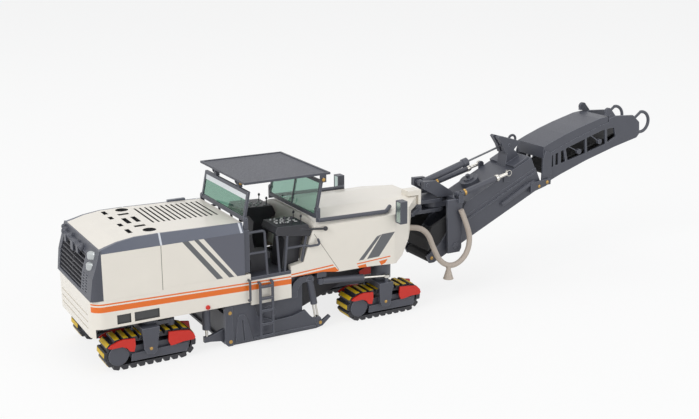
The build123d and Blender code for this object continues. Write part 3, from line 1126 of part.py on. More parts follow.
def main():
    os.makedirs("parts", exist_ok=True)
    for name, x, side in CRAWLERS:
        place = Pos(x, side * TRACK_MID_Y, 0)
        export(f"track_{name}", [place * Pos(-TRACK_SETBACK, 0, END_RADIUS) * track_loop()])
        arm = steering_arm(side) if x > 0 else ball_arm(side)
        export(f"crawler_frame_{name}", [place * (crawler_frame() + arm)])
        export(f"track_guards_{name}", [place * guard for guard in track_guards(side)])
    rear_frame_piece, rear_glass = rear_screen()
    front_frame_piece, front_glass = front_screen()
    left_rods = [mirror(rod, about=Plane.XZ) for rod in lift_rods()]
    left_cylinders = [mirror(piece, about=Plane.XZ) for piece in lift_barrel()]
    pieces = {
        "body_shell": body_shell(), "engine_hood": engine_hood(), "hood_edge_bands": hood_edge_bands(),
        "rear_corner_panels": rear_frame(), "radiator_grille": radiator_grille(), "rear_lamps": rear_lamps(),
        "main_frame": main_frame(), "drum_housing": drum_housing(), "milling_drum": milling_drum(),
        "side_plate_right": [side_plate()], "side_plate_left": [mirror(side_plate(), about=Plane.XZ)],
        "plate_lift_rods_right": lift_rods(), "plate_lift_rods_left": left_rods,
        "tool_lift_cylinders": lift_barrel() + left_cylinders + moldboard_cylinders(),
        "moldboard": moldboard(), "moldboard_rods": moldboard_rods(),
        "primary_conveyor": primary_conveyor(), "operator_platform": operator_platform(),
        "consoles_and_seats": both_sides(control_console()) + operator_seats(),
        "platform_rails": platform_rails() + tank_rails(), "access_ladders": access_ladders(),
        "water_tank": water_tank() + nose_block(), "mirror_housings": mirror_housings(),
        "mirror_glasses": mirror_glasses(), "slew_mount": slew_mount(), "slew_bracket": slew_bracket(),
        "conveyor_lower_frame": conveyor_lower_frame(), "conveyor_lower_belt": conveyor_lower_belt(),
        "conveyor_lower_cover": conveyor_lower_cover(), "conveyor_fittings": conveyor_brackets() + drive_motor(),
        "tail_hopper": tail_hopper(), "conveyor_upper_frame": conveyor_upper_frame(),
        "conveyor_upper_belt": conveyor_upper_belt(), "conveyor_upper_cover": conveyor_upper_cover(),
        "conveyor_lift_barrel": conveyor_lift_barrel(), "conveyor_lift_rod": conveyor_lift_rod(),
        "stay_barrels": stay_barrels(), "stay_rods": stay_rods(),
        "canopy_roof": canopy_roof(), "rear_screen_frame": [rear_frame_piece], "rear_screen_glass": [rear_glass],
        "front_screen_frame": [front_frame_piece], "front_screen_glass": [front_glass],
        "steer_barrel_right": [steer_barrel()], "steer_barrel_left": [mirror(steer_barrel(), about=Plane.XZ)],
        "steer_rod_right": [steer_rod()], "steer_rod_left": [mirror(steer_rod(), about=Plane.XZ)],
        "water_hose": water_hose(),
    }
    for name, solids in pieces.items():
        export(name, solids)


main()
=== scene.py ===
from math import cos, pi, sin

import bpy
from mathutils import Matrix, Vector
from mathutils.bvhtree import BVHTree


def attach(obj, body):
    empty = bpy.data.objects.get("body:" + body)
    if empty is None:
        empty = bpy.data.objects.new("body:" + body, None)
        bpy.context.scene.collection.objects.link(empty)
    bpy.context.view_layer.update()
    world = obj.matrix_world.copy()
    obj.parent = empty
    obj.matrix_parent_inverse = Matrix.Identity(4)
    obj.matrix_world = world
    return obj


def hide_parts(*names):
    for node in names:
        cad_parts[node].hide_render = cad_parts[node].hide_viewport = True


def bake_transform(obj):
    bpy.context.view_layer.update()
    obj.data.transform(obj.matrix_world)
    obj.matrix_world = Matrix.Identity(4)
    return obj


# A die-cast scale model of a cold milling machine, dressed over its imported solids.
# Places are written in millimetres along the machine, as in the part's source: x = 0 at the rear
# crawlers' steering axis, +X to the front, z = 0 on the ground. place() turns them to the frame.

MM = 0.001
CENTRE_SHIFT = -125.7  # mm, from the rear steering axis back to the frame's own zero
SIDES = ((-1, "right"), (1, "left"))

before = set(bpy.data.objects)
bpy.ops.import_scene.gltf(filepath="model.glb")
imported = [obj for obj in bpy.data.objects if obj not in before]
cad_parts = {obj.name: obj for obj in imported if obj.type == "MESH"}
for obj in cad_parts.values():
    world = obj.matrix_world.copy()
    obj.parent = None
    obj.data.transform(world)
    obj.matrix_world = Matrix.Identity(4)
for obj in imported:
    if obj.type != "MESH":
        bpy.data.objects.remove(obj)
scene = bpy.context.scene
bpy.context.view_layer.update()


def place(x, y, z):
    """A point along the machine, in metres in the frame."""
    return Vector(((x + CENTRE_SHIFT) * MM, y * MM, z * MM))


# Shader and geometry trees

FIRST, SECOND, MIXED = 6, 7, 2  # a Mix node's sockets for colours: two inputs and the output


def linear(code):
    """Linear colour of an sRGB hex value."""
    channels = [int(code[start:start + 2], 16) / 255 for start in (0, 2, 4)]
    return [c / 12.92 if c <= 0.04045 else ((c + 0.055) / 1.055) ** 2.4 for c in channels] + [1.0]


def add(tree, kind, settings=(), inputs=()):
    """A node with its settings; an input takes a value, or a link where it is given a socket."""
    node = tree.nodes.new(kind)
    for name, value in dict(settings).items():
        setattr(node, name, value)
    for key, value in dict(inputs).items():
        if isinstance(value, bpy.types.NodeSocket):
            tree.links.new(value, node.inputs[key])
        else:
            node.inputs[key].default_value = value
    return node


def millimetres(tree):
    """Object coordinates turned to millimetres along the machine."""
    coordinates = add(tree, "ShaderNodeTexCoord").outputs["Object"]
    return add(tree, "ShaderNodeMapping", inputs={
        "Vector": coordinates, "Location": (-CENTRE_SHIFT, 0, 0), "Scale": (1 / MM,) * 3}).outputs["Vector"]


def inside(tree, point, outline):
    """1 inside a convex outline in X and Z, 0 outside it. The outline runs anticlockwise."""
    result = 1.0
    for (x0, z0), (x1, z1) in zip(outline, outline[1:] + outline[:1]):
        across = (-(z1 - z0), 0, x1 - x0)
        reach = add(tree, "ShaderNodeVectorMath", {"operation": "DOT_PRODUCT"},
                    {0: point, 1: across}).outputs["Value"]
        edge = add(tree, "ShaderNodeMath", {"operation": "GREATER_THAN"},
                   {0: reach, 1: across[0] * x0 + across[2] * z0}).outputs[0]
        result = add(tree, "ShaderNodeMath", {"operation": "MULTIPLY"}, {0: edge, 1: result}).outputs[0]
    return result


def out_and_up(tree, point):
    """How far a point lies from the middle plane, and how high."""
    split = add(tree, "ShaderNodeSeparateXYZ", inputs={0: point})
    outward = add(tree, "ShaderNodeMath", {"operation": "ABSOLUTE"}, {0: split.outputs["Y"]}).outputs[0]
    return outward, split.outputs["Z"]


def printed(tree, point, base, prints, nearest_y, top_z):
    """Base colour with flat prints on both sides, further out than nearest_y and lower than top_z."""
    outward, height = out_and_up(tree, point)
    outer = add(tree, "ShaderNodeMath", {"operation": "GREATER_THAN"}, {0: outward, 1: nearest_y}).outputs[0]
    low = add(tree, "ShaderNodeMath", {"operation": "LESS_THAN"}, {0: height, 1: top_z}).outputs[0]
    side = add(tree, "ShaderNodeMath", {"operation": "MULTIPLY"}, {0: outer, 1: low}).outputs[0]
    for code, outlines in prints:
        mask = 0.0
        for outline in outlines:
            shape = inside(tree, point, outline)
            mask = add(tree, "ShaderNodeMath", {"operation": "MAXIMUM"}, {0: shape, 1: mask}).outputs[0]
        mask = add(tree, "ShaderNodeMath", {"operation": "MULTIPLY"}, {0: mask, 1: side}).outputs[0]
        base = add(tree, "ShaderNodeMix", {"data_type": "RGBA"},
                   {0: mask, FIRST: base, SECOND: linear(code)}).outputs[MIXED]
    return base


def sunk(tree, point, base, code, outline, half_width):
    """Base colour with painted shade inside an outline in X and Z, nearer to the middle than half_width."""
    outward = out_and_up(tree, point)[0]
    inner = add(tree, "ShaderNodeMath", {"operation": "LESS_THAN"}, {0: outward, 1: half_width}).outputs[0]
    mask = add(tree, "ShaderNodeMath", {"operation": "MULTIPLY"},
               {0: inside(tree, point, outline), 1: inner}).outputs[0]
    return add(tree, "ShaderNodeMix", {"data_type": "RGBA"},
               {0: mask, FIRST: base, SECOND: linear(code)}).outputs[MIXED]


CLOUD_SIZE = 9.0  # mm, the slow drift of a coat's tone
CLOUD_DETAIL = 3.0
GRAIN_DETAIL = 2.0
GRAIN_SPAN = (0.3, 0.7)  # where nearly all of the grain noise lies
GLOSS_SPREAD = 0.07  # roughness, above and below its middle
LEAST_ROUGHNESS = 0.02
EDGE_SAMPLES = 6
BRIGHTEST_EDGE, WHOLE_FACE = 0.86, 0.99  # cosine between a rounded edge's normal and its face's
EDGE_HIGHLIGHT_GREY = "a3a6b0"
RIB_HEIGHT = 5.0  # times the grain's
RELIEF_STRENGTH = 0.6
COAT_ROUGHNESS = 0.12
MODEL_TOP = 90.0  # mm, above everything


def finish(name, code, roughness, grain, depth, rounding=0.12, metallic=0.0, coat=0.0, tone=0.04,
           prints=(), nearest_y=0.0, top_z=MODEL_TOP, shaded_recesses=(), ribs=0.0, edge_highlight=0.0):
    """A finish whose tone, gloss and relief vary with its grain, its edges rounded and brightened by a
    painted highlight.

    grain is the grain's size, depth its relief, rounding the edges' radius and ribs the pitch of
    ribs along the model, all in mm; edge_highlight is how strong the edges' painted highlight is, and tone
    how far the colour varies.
    """
    material = bpy.data.materials.new(name)
    material.use_nodes = True
    tree = material.node_tree
    shader = tree.nodes["Principled BSDF"]
    point = millimetres(tree)
    cloud = add(tree, "ShaderNodeTexNoise", inputs={
        "Vector": point, "Scale": 1 / CLOUD_SIZE, "Detail": CLOUD_DETAIL}).outputs["Fac"]
    fine = add(tree, "ShaderNodeTexNoise", inputs={
        "Vector": point, "Scale": 1 / grain, "Detail": GRAIN_DETAIL}).outputs["Fac"]
    colour = linear(code)
    # The colour drifts further to the dark than to the light, as a coat does that is thin in places.
    darker = [channel * (1 - 2 * tone) for channel in colour[:3]] + [1.0]
    lighter = [min(1.0, channel * (1 + tone)) for channel in colour[:3]] + [1.0]
    base = add(tree, "ShaderNodeMix", {"data_type": "RGBA"},
               {0: cloud, FIRST: darker, SECOND: lighter}).outputs[MIXED]
    if prints:
        base = printed(tree, point, base, prints, nearest_y, top_z)
    # Painted shade inside the ports, slots and vents.
    for shaded_recess in shaded_recesses:
        base = sunk(tree, point, base, *shaded_recess)
    soft = add(tree, "ShaderNodeBevel", {"samples": EDGE_SAMPLES},
               {"Radius": rounding * MM}).outputs["Normal"]
    # Painted highlight: where the rounded normal leaves the face's, along every edge, the colour is mixed
    # towards a pale grey.
    if edge_highlight:
        flat = add(tree, "ShaderNodeNewGeometry").outputs["Normal"]
        level = add(tree, "ShaderNodeVectorMath", {"operation": "DOT_PRODUCT"},
                    {0: soft, 1: flat}).outputs["Value"]
        highlight_share = add(tree, "ShaderNodeMapRange", inputs={
            "Value": level, "From Min": BRIGHTEST_EDGE, "From Max": WHOLE_FACE,
            "To Min": edge_highlight, "To Max": 0.0}).outputs["Result"]
        base = add(tree, "ShaderNodeMix", {"data_type": "RGBA"},
                   {0: highlight_share, FIRST: base, SECOND: linear(EDGE_HIGHLIGHT_GREY)}).outputs[MIXED]
    tree.links.new(base, shader.inputs["Base Color"])
    gloss = add(tree, "ShaderNodeMapRange", inputs={
        "Value": fine, "From Min": GRAIN_SPAN[0], "From Max": GRAIN_SPAN[1],
        "To Min": max(LEAST_ROUGHNESS, roughness - GLOSS_SPREAD),
        "To Max": min(1.0, roughness + GLOSS_SPREAD)}).outputs["Result"]
    tree.links.new(gloss, shader.inputs["Roughness"])
    height = fine
    if ribs:
        across = add(tree, "ShaderNodeSeparateXYZ", inputs={0: point}).outputs["Y"]
        phase = add(tree, "ShaderNodeMath", {"operation": "MULTIPLY"},
                    {0: across, 1: 2 * pi / ribs}).outputs[0]
        wave = add(tree, "ShaderNodeMath", {"operation": "SINE"}, {0: phase}).outputs[0]
        height = add(tree, "ShaderNodeMath", {"operation": "MULTIPLY_ADD"},
                     {0: wave, 1: RIB_HEIGHT, 2: fine}).outputs[0]
    relief = add(tree, "ShaderNodeBump", inputs={
        "Strength": RELIEF_STRENGTH, "Distance": depth * MM, "Height": height,
        "Normal": soft}).outputs["Normal"]
    tree.links.new(relief, shader.inputs["Normal"])
    shader.inputs["Metallic"].default_value = metallic
    shader.inputs["Coat Weight"].default_value = coat
    shader.inputs["Coat Roughness"].default_value = COAT_ROUGHNESS
    return material


# Flat prints on the sides, as outlines in X and Z

BAND_SLOPE = -0.026  # mm down for each mm to the front


def band(x0, x1, low, high):
    """A printed band that falls to the front as the seams do; low and high are its heights at x = 0."""
    return [(x0, low + BAND_SLOPE * x0), (x1, low + BAND_SLOPE * x1),
            (x1, high + BAND_SLOPE * x1), (x0, high + BAND_SLOPE * x0)]


ORANGE = "e66d0a"
STRIPE_GREY = "5f6164"
HOOD_GREY = "595b66"
SEAM_GREY = "8c867d"
TRIM_SILVER = "cfd3da"
# Painted shade inside the hood's ports and the body's vents
PORT_SHADE = "2f3032"
VENT_SHADE = "3b3c3d"

BODY_PRINTS = (
    (ORANGE, (band(-23.5, 61.5, 24.9, 27.2), band(-23.5, 61.5, 27.8, 28.4))),
)
HOOD_PRINTS = (
    (HOOD_GREY, ([(36.8, 30.6), (41.0, 30.6), (41.0, 49.0), (22.4, 49.0)],)),
    (STRIPE_GREY, ([(28.2, 30.4), (30.8, 30.4), (16.0, 49.0), (13.4, 49.0)],
                   [(33.4, 30.4), (35.6, 30.4), (20.2, 49.0), (18.4, 49.0)])),
    (SEAM_GREY, ([(4.6, 29.0), (4.9, 29.0), (4.9, 49.0), (4.6, 49.0)],)),
)
EDGE_PRINTS = (
    (TRIM_SILVER, ([(4.6, 48.0), (5.4, 48.0), (5.2, 54.0), (4.4, 54.0)],
                   [(38.6, 48.0), (39.6, 48.0), (38.6, 54.0), (37.8, 54.0)])),
)
TANK_PRINTS = (
    (ORANGE, ([(60.5, 24.0), (83.9, 25.3), (82.0, 27.4), (60.5, 26.3)],
              [(60.5, 27.0), (81.4, 28.1), (80.9, 28.7), (60.5, 27.6)],
              [(93.0, 26.7), (109.9, 27.6), (109.6, 28.1), (92.6, 27.2)],
              [(94.6, 23.9), (98.0, 24.2), (97.2, 26.3), (93.0, 26.0)],
              [(105.2, 24.4), (107.2, 25.2), (108.4, 26.8), (103.9, 26.4)])),
    (STRIPE_GREY, ([(97.8, 28.4), (103.9, 28.6), (112.0, 38.8), (105.3, 38.6)],
                   [(93.6, 28.3), (96.1, 28.4), (105.1, 38.5), (102.8, 38.0)])),
    (SEAM_GREY, ([(71.8, 43.6), (83.7, 25.7), (84.0, 25.7), (72.1, 43.6)],)),
)

# Ports, slots and vents, with painted shade inside them: colour, outline in X and Z, how far out they reach
HOOD_RECESS_SHADE = (
    (PORT_SHADE, [(-6.5, 45.0), (38.5, 45.0), (38.5, 52.56), (4.0, 53.22), (-4.9, 53.12),
                  (-6.5, 52.9)], 21.0),
)
BODY_RECESS_SHADE = (
    (VENT_SHADE, [(-14.25, 19.55), (-8.55, 19.55), (-8.55, 23.45), (-14.25, 23.45)], 24.3),
    (VENT_SHADE, [(-7.25, 19.55), (3.05, 19.55), (3.05, 23.45), (-7.25, 23.45)], 24.3),
)

# Finishes. The real grains of spray paint, moulded plastic and worked metal are too fine to show
# here, so they are drawn coarser, at 0.2 to 0.7 mm.

# Sprayed ivory enamel over a zinc casting: even, faint orange peel, soft highlights along edges.
enamel = dict(code="e9e3d8", roughness=0.36, grain=0.7, depth=0.012, coat=0.25, tone=0.02)
ivory_body = finish("ivory_enamel_banded", prints=BODY_PRINTS, nearest_y=19.0, shaded_recesses=BODY_RECESS_SHADE,
                    **enamel)
ivory_hood = finish("ivory_enamel_striped", prints=HOOD_PRINTS, nearest_y=24.3, top_z=48.9,
                    shaded_recesses=HOOD_RECESS_SHADE, **enamel)
ivory_tank = finish("ivory_enamel_barred", prints=TANK_PRINTS, nearest_y=24.3, **enamel)
# Satin anthracite spray paint on castings and plastic: fine speckle, with a pale painted highlight along its
# edges.
anthracite = finish("anthracite_spray_paint", "4b4d56", roughness=0.42, grain=0.45, depth=0.02,
                    rounding=0.2, tone=0.07, edge_highlight=0.75)
anthracite_banded = finish("anthracite_edge_enamel", "585d6b", roughness=0.36, grain=0.6, depth=0.012,
                           tone=0.04, coat=0.2, prints=EDGE_PRINTS, nearest_y=20.0)
# The same paint on the canopy, which is moulded with fine ribs from back to front: fine lines of light.
ribbed_roof = finish("anthracite_ribbed_roof", "474952", roughness=0.46, grain=0.5, depth=0.02, tone=0.06,
                     ribs=1.3)
# Moulded black styrene of tracks and controls: dull, slightly mottled, with a grey painted highlight along
# its edges.
black_styrene = finish("moulded_black_styrene", "313136", roughness=0.5, grain=0.4, depth=0.03,
                       rounding=0.2, tone=0.12, edge_highlight=0.35)
# Signal red enamel of the track guards: half gloss, deep and even.
signal_red = finish("signal_red_enamel", "cc1f0a", roughness=0.42, grain=0.6, depth=0.012, coat=0.08,
                    tone=0.05)
# Hand-sprayed yellow on the shoe pads: chalky and a little patchy.
pad_yellow = finish("pad_yellow_paint", "dcb714", roughness=0.5, grain=0.5, depth=0.02, tone=0.08)
# Turned brass pins and rivets: warm and bright.
turned_brass = finish("turned_brass", "b8955a", roughness=0.3, grain=0.25, depth=0.006, rounding=0.05,
                      metallic=1.0, tone=0.06)
# Drawn steel rod: bright, finely speckled by its drawing marks.
drawn_steel = finish("drawn_steel", "cfccc6", roughness=0.24, grain=0.2, depth=0.004, rounding=0.04,
                     metallic=1.0, tone=0.04)
# Blued steel of the conveyor's long thin lift rod: dark, with an oily shine.
blued_steel = finish("blued_steel", "66686d", roughness=0.35, grain=0.3, depth=0.004, rounding=0.04,
                     metallic=0.6, tone=0.04)
# Matt black rubber of belts and hopper walls: no highlights, uneven in tone.
belt_rubber = finish("belt_rubber", "232325", roughness=0.72, grain=0.3, depth=0.03, tone=0.15)
# Soft PVC hose, greyish beige, silky.
hose_vinyl = finish("hose_vinyl", "b9ada1", roughness=0.45, grain=0.5, depth=0.01, rounding=0.05, tone=0.05)
# Clear lamp plastic over silver: pale, with sharp highlights.
lamp_plastic = finish("silvered_lamp_plastic", "b9bdbd", roughness=0.18, grain=0.5, depth=0.01,
                      metallic=0.35, coat=0.6)
# Vacuum-plated mirror foil with a faint green cast: its reflections ripple every 1.5 mm.
mirror_foil = finish("plated_mirror_foil", "b9cbc6", roughness=0.3, grain=1.5, depth=0.004, rounding=0.03,
                     metallic=0.8, tone=0.02)
# Moulded ABS keys of the control trays: pale, satin.
abs_keys = finish("moulded_abs_keys", "d9dad8", roughness=0.5, grain=0.4, depth=0.01)

ACRYLIC_ROUGHNESS = 0.04
ACRYLIC_IOR = 1.49
ACRYLIC_CLEARNESS = 0.9
BAND_PALE = "dfe3e6"
BAND_ROUGHNESS = 0.35


def tinted_screen(name, code, band_z=None):
    """Clear green acrylic that shows what is behind it, with a pale printed band above a height in mm."""
    material = bpy.data.materials.new(name)
    material.use_nodes = True
    tree = material.node_tree
    clear = tree.nodes["Principled BSDF"]
    clear.inputs["Base Color"].default_value = linear(code)
    clear.inputs["Roughness"].default_value = ACRYLIC_ROUGHNESS
    clear.inputs["IOR"].default_value = ACRYLIC_IOR
    clear.inputs["Transmission Weight"].default_value = ACRYLIC_CLEARNESS
    if band_z is None:
        return material
    printed_band = add(tree, "ShaderNodeBsdfPrincipled", inputs={
        "Base Color": linear(BAND_PALE), "Roughness": BAND_ROUGHNESS})
    height = add(tree, "ShaderNodeSeparateXYZ", inputs={0: millimetres(tree)}).outputs["Z"]
    above = add(tree, "ShaderNodeMath", {"operation": "GREATER_THAN"}, {0: height, 1: band_z}).outputs[0]
    mixed = add(tree, "ShaderNodeMixShader", inputs={
        0: above, 1: clear.outputs[0], 2: printed_band.outputs[0]})
    tree.links.new(mixed.outputs[0], tree.nodes["Material Output"].inputs["Surface"])
    return material


green_screen = tinted_screen("green_acrylic", "8ab3a2")
green_banded = tinted_screen("green_acrylic_banded", "6f9f8a", band_z=61.4)

# Each material, with the CAD nodes that it finishes
FINISHES = (
    (ivory_body, ("body_shell",)),
    (ivory_hood, ("engine_hood",)),
    (ivory_tank, ("water_tank",)),
    (anthracite_banded, ("hood_edge_bands",)),
    (anthracite, ("rear_corner_panels", "main_frame", "drum_housing", "side_plate_right", "side_plate_left",
                  "tool_lift_cylinders", "moldboard", "operator_platform", "platform_rails", "access_ladders",
                  "mirror_housings", "slew_mount", "slew_bracket", "conveyor_lower_frame",
                  "conveyor_lower_cover", "conveyor_fittings", "conveyor_upper_frame",
                  "conveyor_upper_cover", "conveyor_lift_barrel", "stay_barrels", "rear_screen_frame",
                  "front_screen_frame", "steer_barrel_right", "steer_barrel_left",
                  "crawler_frame_rear_right", "crawler_frame_rear_left", "crawler_frame_front_right",
                  "crawler_frame_front_left", "milling_drum")),
    (black_styrene, ("radiator_grille", "primary_conveyor", "consoles_and_seats", "track_rear_right",
                     "track_rear_left", "track_front_right", "track_front_left")),
    (signal_red, ("track_guards_rear_right", "track_guards_rear_left", "track_guards_front_right",
                  "track_guards_front_left")),
    (drawn_steel, ("plate_lift_rods_right", "plate_lift_rods_left", "moldboard_rods", "stay_rods",
                   "steer_rod_right", "steer_rod_left")),
    (blued_steel, ("conveyor_lift_rod",)),
    (belt_rubber, ("conveyor_lower_belt", "conveyor_upper_belt", "tail_hopper")),
    (lamp_plastic, ("rear_lamps",)),
    (ribbed_roof, ("canopy_roof",)),
    (mirror_foil, ("mirror_glasses",)),
    (green_screen, ("front_screen_glass",)),
    (green_banded, ("rear_screen_glass",)),
    (hose_vinyl, ("water_hose",)),
)

for material, nodes in FINISHES:
    for node in nodes:
        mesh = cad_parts[node].data
        mesh.materials.clear()
        mesh.materials.append(material)


# Pieces

def unhung(name, mesh, material):
    """A finished mesh as an object in one material, on no body yet."""
    thing = bpy.data.objects.new(name, mesh)
    scene.collection.objects.link(thing)
    mesh.materials.clear()
    mesh.materials.append(material)
    return thing


def piece(name, mesh, body, material):
    """Makes a finished mesh an object that rides on a body."""
    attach(unhung(name, mesh, material), body)


def tree_with(name, inputs):
    """A geometry tree with named inputs; inputs are (name, socket kind, value)."""
    tree = bpy.data.node_groups.new(name, "GeometryNodeTree")
    tree.interface.new_socket("Geometry", in_out="INPUT", socket_type="NodeSocketGeometry")
    for label, kind, value in inputs:
        socket = tree.interface.new_socket(label, in_out="INPUT", socket_type=kind)
        if value is not None:
            socket.default_value = value
    tree.interface.new_socket("Geometry", in_out="OUTPUT", socket_type="NodeSocketGeometry")
    return tree, tree.nodes.new("NodeGroupInput"), tree.nodes.new("NodeGroupOutput")


def close_tree(tree, instances, material, target):
    """Ends a tree with real geometry in its material, because the export drops instances."""
    solid = add(tree, "GeometryNodeRealizeInstances", inputs={0: instances})
    painted = add(tree, "GeometryNodeSetMaterial", inputs={
        "Geometry": solid.outputs[0], "Material": material})
    tree.links.new(painted.outputs[0], target.inputs[0])


# Shape of a rivet head, for a radius of 1
DOME_RADIUS = 0.8
DOME_RINGS = 6
DOME_RISE = 0.1
COLLAR_DEPTH = 0.3


def rivet_tree():
    """A domed head with a collar on each point, along its axis attribute, sized by its radius attribute."""
    tree, source, target = tree_with("rivet_heads", (
        ("Head height", "NodeSocketFloat", 0.5), ("Sides", "NodeSocketInt", 12),
        ("Material", "NodeSocketMaterial", None)))
    dome = add(tree, "GeometryNodeMeshUVSphere", inputs={
        "Segments": source.outputs["Sides"], "Rings": DOME_RINGS, "Radius": DOME_RADIUS})
    low = add(tree, "ShaderNodeCombineXYZ", inputs={0: 1.0, 1: 1.0, 2: source.outputs["Head height"]})
    flat = add(tree, "GeometryNodeTransform", inputs={
        "Geometry": dome.outputs["Mesh"], "Scale": low.outputs[0], "Translation": (0, 0, DOME_RISE)})
    collar = add(tree, "GeometryNodeMeshCylinder", inputs={
        "Vertices": source.outputs["Sides"], "Radius": 1.0, "Depth": COLLAR_DEPTH})
    head = add(tree, "GeometryNodeJoinGeometry")
    tree.links.new(flat.outputs[0], head.inputs[0])
    tree.links.new(collar.outputs["Mesh"], head.inputs[0])
    axis = add(tree, "GeometryNodeInputNamedAttribute", {"data_type": "FLOAT_VECTOR"}, {"Name": "axis"})
    size = add(tree, "GeometryNodeInputNamedAttribute", {"data_type": "FLOAT"}, {"Name": "radius"})
    turn = add(tree, "FunctionNodeAlignRotationToVector", {"axis": "Z"}, {
        "Vector": axis.outputs["Attribute"]})
    heads = add(tree, "GeometryNodeInstanceOnPoints", inputs={
        "Points": source.outputs[0], "Instance": head.outputs[0], "Rotation": turn.outputs[0],
        "Scale": size.outputs["Attribute"]})
    close_tree(tree, heads.outputs[0], source.outputs["Material"], target)
    return tree


# Shape of a standing block, for a size of 1
BLOCK_MIDDLE = 0.3  # above its point, so that a fifth is sunk
CROWN_SHARE = 0.86  # width of the top face
FACING_UP = 0.9  # cosine, which only the top face reaches


def block_tree():
    """Tapered blocks that stand on points, along the axis attribute, each sized by its size attribute."""
    tree, source, target = tree_with("standing_blocks", (("Material", "NodeSocketMaterial", None),))
    out = add(tree, "GeometryNodeInputNamedAttribute", {"data_type": "FLOAT_VECTOR"}, {"Name": "axis"})
    size = add(tree, "GeometryNodeInputNamedAttribute", {"data_type": "FLOAT_VECTOR"}, {"Name": "size"})
    turn = add(tree, "FunctionNodeAlignRotationToVector", {"axis": "Z"}, {
        "Vector": out.outputs["Attribute"]})
    level = add(tree, "FunctionNodeAlignRotationToVector", {"axis": "Y", "pivot_axis": "Z"}, {
        "Rotation": turn.outputs[0], "Vector": (0, 1, 0)})
    plate = add(tree, "GeometryNodeMeshCube", inputs={"Size": (1.0, 1.0, 1.0)})
    lifted = add(tree, "GeometryNodeTransform", inputs={
        "Geometry": plate.outputs["Mesh"], "Translation": (0, 0, BLOCK_MIDDLE)})
    facing = add(tree, "ShaderNodeSeparateXYZ", inputs={0: add(tree, "GeometryNodeInputNormal").outputs[0]})
    top = add(tree, "FunctionNodeCompare", {"data_type": "FLOAT", "operation": "GREATER_THAN"}, {
        0: facing.outputs["Z"], 1: FACING_UP})
    crown = add(tree, "GeometryNodeScaleElements", {"domain": "FACE"}, {
        "Geometry": lifted.outputs[0], "Selection": top.outputs[0], "Scale": CROWN_SHARE})
    blocks = add(tree, "GeometryNodeInstanceOnPoints", inputs={
        "Points": source.outputs[0], "Instance": crown.outputs[0], "Rotation": level.outputs[0],
        "Scale": size.outputs["Attribute"]})
    close_tree(tree, blocks.outputs[0], source.outputs["Material"], target)
    return tree


def grown(name, base, tree, values, body):
    """Makes the plain mesh that a geometry tree grows on a base mesh a piece on a body."""
    holder = bpy.data.objects.new(name + "_base", base)
    scene.collection.objects.link(holder)
    modifier = holder.modifiers.new(name, "NODES")
    modifier.node_group = tree
    for item in tree.interface.items_tree:
        if item.item_type == "SOCKET" and item.in_out == "INPUT" and item.name in values:
            modifier[item.identifier] = values[item.name]
    graph = bpy.context.evaluated_depsgraph_get()
    mesh = bpy.data.meshes.new_from_object(holder.evaluated_get(graph), depsgraph=graph)
    bpy.data.objects.remove(holder)
    bpy.data.meshes.remove(base)
    piece(name, mesh, body, values["Material"])


def points_mesh(name, rows):
    """A mesh of bare points; rows are (place, axis, radius or size in mm)."""
    mesh = bpy.data.meshes.new(name)
    mesh.from_pydata([row[0] for row in rows], [], [])
    sized = isinstance(rows[0][2], tuple)
    mesh.attributes.new("axis", "FLOAT_VECTOR", "POINT")
    if sized:
        mesh.attributes.new("size", "FLOAT_VECTOR", "POINT")
    else:
        mesh.attributes.new("radius", "FLOAT", "POINT")
    # Each is fetched by name, because making the second one leaves a reference to the first stale.
    for index, row in enumerate(rows):
        mesh.attributes["axis"].data[index].vector = row[1]
        if sized:
            mesh.attributes["size"].data[index].vector = [part * MM for part in row[2]]
        else:
            mesh.attributes["radius"].data[index].value = row[2] * MM
    return mesh


SEARCH_REACH = 0.04  # m, each way from the point
surfaces = {}  # search trees of the CAD nodes, kept once they are made


def seat(node, spot, outward, sink=0.0):
    """Where a line from outside, through a point in mm, first meets a CAD node, or sink mm under it."""
    if node not in surfaces:
        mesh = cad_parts[node].data
        surfaces[node] = BVHTree.FromPolygons([vertex.co for vertex in mesh.vertices],
                                              [face.vertices[:] for face in mesh.polygons])
    way = Vector(outward).normalized()
    met = surfaces[node].ray_cast(place(*spot) + way * SEARCH_REACH, -way, 2 * SEARCH_REACH)[0]
    if met is None:
        raise ValueError(f"nothing of {node} lies along {outward} at {spot}")
    return met - way * sink * MM


SHARP_ANGLE = 0.6  # radians, above which an edge of a turned piece stays sharp


def turned(name, rows, sides=20):
    """A mesh of turned pieces; rows are (place, axis, profile), a profile is (height, radius) in mm."""
    points, faces = [], []
    for spot, axis, profile in rows:
        turn = Vector(axis).to_track_quat("Z", "Y")
        start = len(points)
        for height, radius in profile:
            for step in range(sides):
                angle = 2 * pi * step / sides
                rim = Vector((cos(angle) * radius, sin(angle) * radius, height))
                points.append(spot + turn @ rim * MM)
        for ring in range(len(profile) - 1):
            for step in range(sides):
                low, high = start + ring * sides, start + (ring + 1) * sides
                after = (step + 1) % sides
                faces.append((low + step, low + after, high + after, high + step))
        faces.append(tuple(start + step for step in reversed(range(sides))))
        faces.append(tuple(start + (len(profile) - 1) * sides + step for step in range(sides)))
    mesh = bpy.data.meshes.new(name)
    mesh.from_pydata(points, [], faces)
    mesh.shade_smooth()
    mesh.set_sharp_from_angle(angle=SHARP_ANGLE)
    return mesh


# Water hose: one free curve along the route's points, with the flared nozzle at its lowest bend

SLEW_X = 147.0  # the slewing axis
HOSE_RADIUS = 1.3
HOSE_STEPS = 12  # along the curve, for each of its points
HOSE_ROUNDNESS = 4
NOZZLE_X = SLEW_X - 0.8
